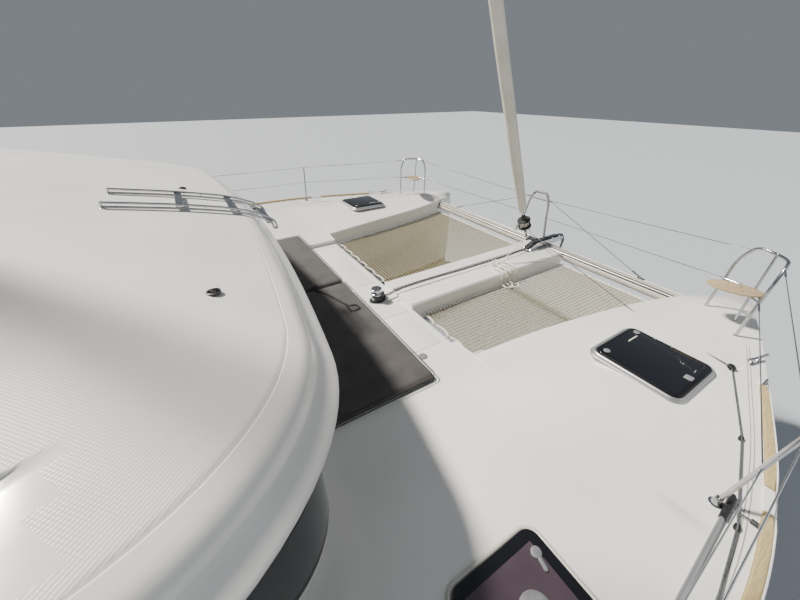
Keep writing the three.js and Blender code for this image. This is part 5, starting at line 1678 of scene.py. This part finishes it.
# %% Toe rails and guard rails
STANCHION_X = (-4.2, -2.45, -0.7, 1.1, 3.2)
TOE_RAILS = [(-4.3, 1.62), (1.66, 3.37), (3.56, 4.57)]
CHOCKS = [(3.375, 3.555), (4.574, 4.66)]
STANCHION_FOOT = [
    (0, 0), (0.034, 0), (0.034, 0.004), (0.024, 0.008), (0.019, 0.05), (0.016, 0.054), (0, 0.054)
]
WIRE_END = [(0, 0.02), (0.006, 0.02), (0.009, 0.05), (0.009, 0.15), (0.005, 0.18), (0, 0.18)]
# share of the stanchion's height, and where the wire ends on the pulpit
WIRES = ((0.55, (5.22, 3.016, 2.215)), (0.98, (5.275, 3.02, 2.545)))


def rail_strip(x0, x1, outer_gap, width, top, edge=0.005):
    """A strip that follows the deck edge; outer_gap is its distance from it."""
    low = DECK_Z - 0.004
    rings = []
    stations = np.linspace(x0, x1, max(int((x1 - x0) / 0.08), 3))
    for i, x in enumerate(stations):
        here = deck_edge_y(x) - outer_gap
        shrink = edge if i in (0, len(stations) - 1) else 0.0
        y0, y1, z1 = here - width + shrink, here - shrink, top - shrink
        section = [(y0, low), (y1, low), (y1, z1 - edge), (y1 - edge, z1), (y0 + edge, z1), (y0, z1 - edge)]
        rings.append([(x, y, z) for y, z in section])
    return skin(rings)


def rail_foot(x):
    y = deck_edge_y(x) - 0.255
    return Vector((x, y, smooth_value(deck_line(section_at(x), INNER_ROUND), y)))


def on_stanchion(x, share):
    return rail_foot(x) + Vector((0.06, 0.06, 0.655)) * share


rails = [rail_strip(*run, 0.019, 0.05, 1.8855) for run in TOE_RAILS]
pair("{}_toe_rail", joined(*rails), teak, ["toe_rail_{}"])
edging = [rail_strip(*run, 0.009, 0.0095, 1.884, 0.003) for run in TOE_RAILS]
chocks = [rail_strip(*run, 0.012, 0.06, 1.8755) for run in CHOCKS]
pair("{}_toe_rail_edging", joined(*edging, *chocks), gelcoat)

posts, wires = [], []
for x in STANCHION_X:
    foot, top = rail_foot(x), on_stanchion(x, 1)
    stay_foot = foot + Vector((0.05, 0.16, 0))
    posts.append(tube([foot + Vector((0, 0, 0.004)), top], 0.0125, 16))
    posts.append(turned(STANCHION_FOOT, foot, sides=28))
    posts.append(tube([foot + Vector((0, 0, 0.03)), stay_foot + Vector((0, 0, 0.007))], 0.006, 10))
    posts.append(pad(0.022, 0.022, 0.005, stay_foot))
    posts.append(bead(top, 0.0145))
    for share, _ in WIRES:
        posts.append(rod(0.0065, -0.017, 0.017, on_stanchion(x, share), (1, 0, 0), 12))
for share, end in WIRES:
    knots = [on_stanchion(x, share) for x in STANCHION_X] + [Vector(end)]
    wires.append(tube(knots, 0.0038, 8))
    wires.append(turned(WIRE_END, end, knots[-2] - knots[-1], 12))
pair("{}_stanchions", joined(*posts), stainless, ["guard_rail_{}"])
pair("{}_guard_wires", joined(*wires), stainless)
print("rails made")

# %% Bow wires, furling line and fittings
BLOCK = (4.6, -3.165)
FURLER_LEAD = (5.7, -0.2, 1.86)
LINE_Z = DECK_Z + 0.02
LINE_STOPS = ((3.83, -3.466), (3.14, -3.66), (2.45, -3.765))
HORNS = [(-0.5, 0.05), (-0.25, 0.042), (0, 0.04), (0.25, 0.042), (0.5, 0.05)]
CLEAT_FOOT = [(0, 0), (0.024, 0), (0.022, 0.006), (0.012, 0.014), (0.012, 0.04), (0, 0.04)]
FILLER_CAP = [(0, 0), (0.04, 0), (0.042, 0.004), (0.036, 0.01), (0.02, 0.012), (0, 0.012)]
VENT_CAP = [(0, 0), (0.03, 0), (0.03, 0.006), (0.02, 0.014), (0, 0.015)]
EYE_RIM = [(0, -0.01), (0.034, -0.01), (0.034, 0.002), (0.028, 0.004), (0.024, -0.002), (0, -0.002)]
ROOF_EYES = ((1.14, -1.754), (1.12, 0.484))
BEAM_WRAP = [
    (0, -0.53, 1.735), (0.01, -0.66, 1.734), (0, -0.765, 1.733), (-0.004, -0.789, 1.71), (0, -0.79, 1.6),
    (0.01, -0.789, 1.5), (0.02, -0.77, 1.472), (0.03, -0.6, 1.4715),
]
COILS = ((4.54, -0.54, 0.05), (4.6, -0.52, 0.06), (4.66, -0.55, 0.05), (4.71, -0.57, 0.042))
LASHING_END = [(4.66, -0.6, 1.742), (5.0, -0.72, 1.732), (5.4, -0.79, 1.733), (5.72, -0.95, 1.69)]


def at_deck(x, y, rise=0.016):
    return x, y, DECK_Z + rise


bow_wires = []
for y, z, arch_z in ((2.648, 2.2, 2.06), (2.71, 2.54, 2.34)):
    for way in (-1, 1):
        bow_wires.append(tube([(5.592, y * way, z), (6.006, 0.17 * way, arch_z)], 0.0038, 8))
piece("bow_lifelines", joined(*bow_wires), stainless)
furling = [along_stay(0.28, 0.062, math.pi), FURLER_LEAD, (4.9, -2.29, 1.79), at_deck(*BLOCK, 0.022)]
for x, y in (*LINE_STOPS, (1.2, -3.782), (-1.5, -3.77), (-4.1, -3.7)):
    furling.append((x, y, LINE_Z))
piece("furling_line", tube(furling, 0.005, 8), rope_dark)

# A spare line is lashed round the starboard half of the longeron.
lashing = []
for start in (4.575, 4.595, 4.62, 4.64, 4.66):
    lashing.append(tube(fair([(start + x, y, z) for x, y, z in BEAM_WRAP], 0.03), 0.009, 8))
for i, (x, y, reach) in enumerate(COILS):
    height = 1.742 + 0.012 * i
    ring = []
    for t in np.linspace(0, math.tau, 21):
        ring.append(
            (x + reach * math.cos(t), y + 0.7 * reach * math.sin(t), height + 0.012 * math.sin(t + i))
        )
    lashing.append(tube(ring, 0.009, 8))
for start, reach in ((4.46, 0.06), (4.545, 0.095), (4.62, 0.03)):
    hanging = [
        (0, -0.6, 1.752), (-0.01, -0.77, 1.748), (-0.015, -0.806, 1.705), (-0.02, -0.812, 1.6),
        (-0.01, -0.85 - reach, 1.574), (0.075, -0.87 - reach, 1.574), (0.13, -0.83 - reach / 2, 1.575),
        (0.12, -0.812, 1.62), (0.11, -0.806, 1.7), (0.1, -0.77, 1.75), (0.09, -0.62, 1.758),
    ]
    lashing.append(tube(fair([(start + x, y, z) for x, y, z in hanging], 0.02), 0.009, 8))
lashing.append(tube(fair(LASHING_END, 0.05), 0.0075, 8))
lashing.append(tube([FURLER_LEAD, (5.2, -0.36, 1.775), (4.7, -0.52, 1.745)], 0.0045, 8))
piece("longeron_lashing", joined(*lashing), rope_white)


def block_at(x, y, z, size, turn=0.0):
    """A small pulley block lying on the deck: two cheeks with a sheave between them."""
    shells = []
    for low, high in ((0, 0.32), (0.62, 0.94)):
        height = (size * low, size * high)
        shells.append(slab((-size, size), (-size * 0.62, size * 0.62), height, size * 0.6, size * 0.1, 6, 2))
    profile = [(0, 0.3), (0.42, 0.3), (0.34, 0.47), (0.42, 0.64), (0, 0.64)]
    core = turned([(size * radius, size * up) for radius, up in profile], (0, 0, 0), sides=20)
    return placed(joined(*shells, core), x, y, z, turn)


blocks = [block_at(*BLOCK, 1.8625, 0.034, 0.7)]
for x, y in (*LINE_STOPS, (-1.5, -3.77)):
    blocks.append(block_at(*at_deck(x, y, 0.002), 0.021, 0.2))
piece("furling_line_blocks", joined(*blocks), black_plastic)


def horn_cleat(x, y, length, turn):
    """A cast cleat: two horns on a short double foot."""
    horns = bent([(length * share, 0, z) for share, z in HORNS], 0.0115, 14)
    feet = [turned(CLEAT_FOOT, (dx, 0, 0), sides=20) for dx in (-length / 6, length / 6)]
    return placed(joined(horns, *feet), x, y, DECK_Z, turn)


cleats = [horn_cleat(4.89, 3.24, 0.24, 0.28 - math.pi), horn_cleat(0.2, 3.76, 0.22, 0.0)]
cleats.append(horn_cleat(-4.05, 3.68, 0.24, -0.1))
pair("{}_cleats", joined(*cleats), stainless)
fairleads = []
for x in (1.64, 4.62):
    y = deck_edge_y(x) - 0.035
    arch = [(-0.06, 1.872), (-0.035, 1.888), (0.035, 1.888), (0.06, 1.872)]
    fairleads.append(bent([(x + dx, y, z) for dx, z in arch], 0.008, 10))
pair("{}_fairleads", joined(*fairleads), stainless)
# These two thin grey lines are painted shade, standing in for the shade in two grooves of the side deck.
groove_shade_lines = []
for outer_gap in (0.115, 0.135):
    line = [(x, deck_edge_y(x) - outer_gap, DECK_Z + 0.0008) for x in np.linspace(-4.2, 5.1, 70)]
    groove_shade_lines.append(tube(line, 0.0028, 6))
pair("{}_deck_bead", joined(*groove_shade_lines), groove_shade_grey)
piece("boat_hook_pole", tube([at_deck(3.12, -3.6), at_deck(1.55, -3.7)], 0.0125, 16), anodised)
grip_line = [at_deck(3.32, -3.585, 0.02), at_deck(3.3, -3.587, 0.02), at_deck(3.12, -3.6, 0.018)]
grip = tube(grip_line, [0.012, 0.018, 0.017], 16)
hook = bent(
    [at_deck(x, y) for x, y in ((1.56, -3.7), (1.47, -3.706), (1.42, -3.69), (1.44, -3.66))], 0.009, 10
)
piece("boat_hook_grip", joined(grip, hook), black_plastic)
caps = joined(
    turned(FILLER_CAP, (2.594, -1.566, 1.7215), sides=28), turned(VENT_CAP, (1.43, -1.97, 1.742), sides=24)
)
piece("deck_fittings", caps, grey_plastic, slot="canvas")
roof_eyes = []
for x, y in ROOF_EYES:
    z = roof_top_z(x) - ROOF_CAMBER * y * y
    roof_eyes.append(turned(EYE_RIM, (x, y, z), sides=24))
    ring = [(-0.022, -0.004), (-0.012, 0.007), (0.012, 0.007), (0.022, -0.004)]
    roof_eyes.append(bent([(x + dx, y, z + dz) for dx, dz in ring], 0.004, 8))
piece("roof_eyes", joined(*roof_eyes), black_plastic)
print("lines and fittings made")

# %% [markdown]
# ## Ladder, helm and rig
# Two bent rails with treads climb from the foredeck over the roof's rim. The mast stands on the
# roof, and carries spreaders, shrouds and the boom, whose zipped bag holds the lowered mainsail. The
# bag's sides sag and crease over the folded sail.

# %% Roof ladder
# x, height of the upper rail, and x, height of the lower one
UPPER = [
    (0.62, 3.156), (1.06, 3.0744), (1.25, 3.033), (1.45, 2.982), (1.6, 2.925), (1.7, 2.87), (1.758, 2.815),
    (1.77, 2.756),
]
LOWER = [
    (0.62, 3.126), (1.06, 3.0444), (1.25, 3.003), (1.45, 2.952), (1.6, 2.897), (1.69, 2.842), (1.732, 2.8),
    (1.74, 2.756),
]
LADDER_SIDES = (-0.35, 0.1)
LADDER_AFT = 0.62
LADDER_TREADS = ((1.08, 3.0577), (1.45, 2.967), (1.716, 2.818))
RAIL_BAR = 0.009

rails = []
for y in LADDER_SIDES:
    rails += [bent([(x, y, z) for x, z in line], RAIL_BAR, 12) for line in (UPPER, LOWER)]
    rails.append(tube([(1.74, y, 2.757), (1.77, y, 2.757)], RAIL_BAR, 12))
    foot_z = roof_top_z(LADDER_AFT)
    rails.append(tube([(LADDER_AFT, y, foot_z - 0.004), (LADDER_AFT, y, 3.156)], RAIL_BAR, 12))
    rails.append(foot_socket((LADDER_AFT, y, foot_z - 0.001), RAIL_BAR, 0.02))
    for x in (1.25, 1.6):
        rails.append(tube([(x, y, straight_value(line, x)) for line in (LOWER, UPPER)], 0.006, 10))
piece("roof_ladder_rails", joined(*rails), stainless, ["roof_ladder"])
tread = [slab((-0.028, 0.028), LADDER_SIDES, (-0.011, 0.011), 0.006, 0.005, 3, 3)]
rib_y = (LADDER_SIDES[0] + 0.03, LADDER_SIDES[1] - 0.03)
for dx in (-0.016, 0.0, 0.016):
    tread.append(slab((dx - 0.004, dx + 0.004), rib_y, (0.0105, 0.0125), 0.003, 0.001, 3, 1))
treads = [placed(joined(*tread), x, 0, z) for x, z in LADDER_TREADS]
piece("roof_ladder_treads", joined(*treads), stainless)
print("ladder made")

# %% Helm wheel
HELM = Vector((-2.25, 0.8, 4.15))
RIM = 0.33
WHEEL_BOSS = [(0, -0.04), (0.05, -0.04), (0.055, -0.02), (0.034, 0.0), (0.03, 0.03), (0, 0.034)]
# distance from the axis, distance along it
SPOKE = ((0.02, 0.0), (0.18, -0.012), (RIM, 0.0))

wheel = [closed_loop([(x, y, 0.0) for x, y in ellipse(RIM, RIM, 72)], 0.0138, 12)]
wheel.append(turned(WHEEL_BOSS, (0, 0, 0)))
for angle in circle(5):
    spoke = [(reach * math.cos(angle), reach * math.sin(angle), z) for reach, z in SPOKE]
    wheel.append(tube(spoke, [0.009, 0.0075, 0.0065], 10))
wheel_points, wheel_faces = joined(*wheel)
wheel_points = [(HELM.x + z, HELM.y + x, HELM.z + y) for x, y, z in wheel_points]
piece("helm_wheel_rim", (wheel_points, wheel_faces), stainless, ["helm_wheel"], "wheel")
piece("helm_wheel_hub", rod(0.026, -0.03, 0.0995, HELM, (1, 0, 0)), black_plastic, body="wheel")
print("helm made")

# %% Mast, boom and sail bag
MAST_X = -0.95
MAST_FOOT = roof_top_z(MAST_X) - 0.03
COLLARS = (3.47, 9.83, 16.12)
SPREADER_TIP = (-1.5, 1.8, 9.9)
PIN_X = -1.18
WINCH = [
    (0, 0), (0.05, 0), (0.052, 0.01), (0.04, 0.02), (0.034, 0.05), (0.038, 0.08), (0.045, 0.09), (0.045, 0.1),
    (0.02, 0.11), (0, 0.11),
]
BOOM_Z = 5.5
BOOM_EYE = (
    (0.0131, 5.442), (0.0275, 5.442), (0.0278, 5.446), (0.0278, 5.554), (0.0275, 5.558), (0.0131, 5.558),
    (0.0131, 5.442),
)
# x, half width, height of the bag
BAG = [(-6.25, 0.11, 0.3), (-4.8, 0.15, 0.43), (-3.0, 0.175, 0.56), (-1.35, 0.165, 0.7)]
BAG_FOOT = 5.5605
# The starboard half of the bag's section, in shares of its half width and height.
BAG_SECTION = [
    (0.42, 0.002), (0.8, 0.05), (1.0, 0.24), (1.02, 0.45), (0.93, 0.66), (0.66, 0.87), (0.28, 0.975),
    (0.05, 1.0),
]


def mast_ring(z, scale=1.0):
    """The mast's section: rounded in front, narrower aft, with a groove for the sail."""
    ring = []
    for angle in circle(48):
        depth = 0.86 if abs(angle - math.pi) < 0.09 else 1.0
        ring.append((MAST_X + 0.13 * scale * depth * math.cos(angle), 0.085 * scale * math.sin(angle), z))
    return ring


mast = [skin([mast_ring(z) for z in np.linspace(MAST_FOOT, 20.49, 30)] + [mast_ring(20.5, 0.94)])]
for low in COLLARS:
    mast.append(
        skin([mast_ring(low + up, wide) for up, wide in ((0, 1.0), (0.01, 1.06), (0.05, 1.06), (0.06, 1.0))])
    )
mast.append(slab((-1.21, -0.83), (-0.04, 0.04), (20.44, 20.54), 0.02, 0.008, 4, 3))
for way in (-1, 1):
    tip = (SPREADER_TIP[0], SPREADER_TIP[1] * way, SPREADER_TIP[2])
    arm = fair([(-0.95, 0.05 * way, 9.86), (-1.22, 0.9 * way, 9.882), tip], 0.1)
    mast.append(tube(arm, list(np.linspace(0.045, 0.022, len(arm))), 16, 0.55))
    mast.append(bead(tip, 0.0255))
piece("mast_section", joined(*mast), anodised, ["mast"], sharp=32)
fittings = [
    slab((-1.215, -0.97), (-0.032, 0.032), z, 0.02, 0.003, 5, 2) for z in ((5.395, 5.41), (5.59, 5.605))
]
fittings.append(rod(0.0118, 5.407, 5.593, (PIN_X, 0, 0), sides=20))
foot_sides = ((MAST_X - 0.19, MAST_X + 0.19), (-0.15, 0.15), (MAST_FOOT, MAST_FOOT + 0.09))
fittings.append(slab(*foot_sides, 0.05, 0.012, 6, 3))
piece("mast_fittings", joined(*fittings), stainless)
winches = [turned(WINCH, (MAST_X, 0.083 * way, z), (0, way, 0)) for way, z in ((1, 4.3), (-1, 4.42))]
piece("mast_winches", joined(*winches), stainless)

boom_rings = []
for x in np.concatenate([[-6.38, -6.375], np.linspace(-6.3, -1.3, 24), [-1.25, -1.24]]):
    scale = 0.95 if x in (-6.38, -1.24) else 1.0
    boom_rings.append([(float(x), y, BOOM_Z + z) for y, z in ellipse(0.075 * scale, 0.0925 * scale, 40)])
nose = prism([(-1.25, 5.442), (-1.19, 5.445), (-1.19, 5.555), (-1.25, 5.558)], "y", -0.0215, 0.0215)
eye = skin(
    [[(x, y, z) for x, y in ellipse(radius, radius, 32, PIN_X)] for radius, z in BOOM_EYE], closed=False
)
piece("boom_section", joined(skin(boom_rings), nose, eye), anodised, ["boom"], "boom_and_bag", 32)


def bag_point(x, side, up, end=1.0):
    """A point of the bag's skin; side and up are shares of its half width and height."""
    half, tall = straight_value(BAG, x) * 0.965, straight_value(BAG, x, 2) * 0.985
    fold = 0.014 * math.sin(x * 7.2 + up * 3) + 0.01 * math.sin(x * 19 + up * 9 + side * 2)
    sag = 0.03 * math.cos(x * 4.1) * (1 - up) * up
    y = side * half * end * (1 + fold * (0.3 + up) + sag)
    return float(x), y, BAG_FOOT + up * tall * (0.985 + fold * 0.35)


bag_outline = [Vector(p) for p in BAG_SECTION + [(-y, z) for y, z in BAG_SECTION[::-1]]]
bag_rings = []
for x in np.linspace(-6.245, -1.355, 150):
    end = min(1.0, 0.9 + 1.4 * min(x + 6.245, -1.355 - x))
    ring = []
    for here, following in zip(bag_outline, bag_outline[1:] + bag_outline[:1]):
        ring += [bag_point(x, *here.lerp(following, k / 4), end) for k in range(4)]
    bag_rings.append(ring)
piece("sail_bag_canvas", skin(bag_rings), canvas, ["sail_bag"], "boom_and_bag", 60)
zip_line = [bag_point(x, 0.0, 1.0) for x in np.linspace(-6.2, -1.4, 90)]
piece("sail_bag_zip", tube(zip_line, 0.007, 8), black_plastic, body="boom_and_bag")
webs = []
for x in (-5.9, -4.9, -3.9, -2.9, -1.9):
    under = np.linspace(0.2, -math.pi - 0.2, 14)
    webs.append(bent([(x, 0.088 * math.cos(t), BOOM_Z + 0.1 * math.sin(t)) for t in under], 0.004, 6, 0.02))
piece("sail_bag_straps", joined(*webs), webbing, body="boom_and_bag")
print("mast, boom and bag made")

# %% Shrouds
LOWER_END, KNEE, UPPER_END = Vector((-1.9, 3.62, 1.86)), Vector((-1.5, 1.83, 9.9)), Vector(
    (-0.95, 0.083, 16.24)
)
SHROUD_SCREW = [
    (0, 0.03), (0.009, 0.03), (0.009, 0.12), (0.0155, 0.14), (0.0155, 0.42), (0.009, 0.44), (0.009, 0.5),
    (0, 0.5),
]
way = (KNEE - LOWER_END).normalized()
shroud = joined(
    tube([LOWER_END + way * 0.3, KNEE, UPPER_END], 0.0055, 10),
    turned(SHROUD_SCREW, LOWER_END, way, 20),
    rod(0.009, -0.016, 0.016, LOWER_END + way * 0.06, ACROSS, 16),
    slab((-1.914, -1.886), (3.607, 3.629), (1.8585, 1.93), 0.006, 0.003, 4, 2),
)
pair("{}_shroud", shroud, stainless, ["shroud_{}"])
print("shrouds made")

# %% [markdown]
# ## Below the waterline
# Everything under water wears antifouling, except the bronze propellers. The drive legs have
# an oval section, and the propeller blades are lofted sections that twist from hub to tip.

# %% Drive legs, propellers and rudders
DRIVE_Y = 2.89
SHAFT_Z = -0.58
# height, width of the leg as a share
DRIVE_LEG = ((-0.585, 0.86), (-0.57, 0.95), (-0.5, 1.0), (-0.4, 1.0), (-0.28, 1.04))
POD = [
    (0, 0), (0.04, 0), (0.0405, 0.02), (0.052, 0.1), (0.054, 0.2), (0.05, 0.29), (0.038, 0.35), (0.02, 0.385),
    (0, 0.393),
]
HUB = [
    (0, -0.06), (0.018, -0.058), (0.03, -0.048), (0.036, -0.03), (0.044, 0.0), (0.0485, 0.03),
    (0.0485, 0.0446),
    (0, 0.0446),
]
# distance from the axis, half length, pitch and half thickness of a section of the blade
BLADE = (
    (0.036, 0.036, 0.75, 0.006), (0.07, 0.05, 0.62, 0.0055), (0.11, 0.058, 0.5, 0.0045),
    (0.15, 0.054, 0.4, 0.0035), (0.178, 0.034, 0.34, 0.0022), (0.184, 0.012, 0.32, 0.001),
)
# height, reach before and behind the stock, half thickness
RUDDER = (
    (-1.15, 0.06, 0.225, 0.01), (-1.135, 0.074, 0.25, 0.021), (-1.1, 0.082, 0.262, 0.025),
    (-0.7, 0.098, 0.292, 0.031), (-0.22, 0.118, 0.326, 0.036), (-0.195, 0.114, 0.32, 0.03),
    (-0.19, 0.1, 0.3, 0.02),
)


def blade_part(turn):
    """One propeller blade: sections from root to tip, each twisted a little less than the last."""
    rings = []
    for reach, chord, pitch, half in BLADE:
        ring = []
        for along, across in ellipse(chord, half, 20):
            x = along * math.sin(pitch) + across * math.cos(pitch)
            side = along * math.cos(pitch) - across * math.sin(pitch)
            y = side * math.cos(turn) - reach * math.sin(turn)
            z = side * math.sin(turn) + reach * math.cos(turn)
            ring.append((-4.767 + x, DRIVE_Y + y, SHAFT_Z + z))
        rings.append(ring)
    return skin(rings)


leg_rings = []
for z, scale in DRIVE_LEG:
    leg_rings.append([(x, y, z) for x, y in ellipse(0.13 * scale, 0.032 * scale, 40, -4.51, DRIVE_Y)])
pod = turned(POD, (-4.7148, DRIVE_Y, SHAFT_Z), (1, 0, 0), 36)
pair("{}_drive_leg", joined(skin(leg_rings), pod), antifouling, ["drive_leg_{}"])
hub = turned(HUB, (-4.76, DRIVE_Y, SHAFT_Z), (1, 0, 0), 36)
propeller = joined(hub, *[blade_part(turn) for turn in circle(3)])
pair("{}_propeller", propeller, bronze, ["propeller_{}"], "{}_propeller")
stock_x, stock_y = RUDDER_AXIS
rudder = skin(
    [foil(z, stock_x + before, stock_x - behind, half, stock_y) for z, before, behind, half in RUDDER]
)
stock = rod(0.0278, 0, 0.3, (stock_x, stock_y, -0.3), sides=48)
pair("{}_rudder", joined(rudder, stock), antifouling, ["rudder_{}"], "{}_rudder")
print("underwater parts made")
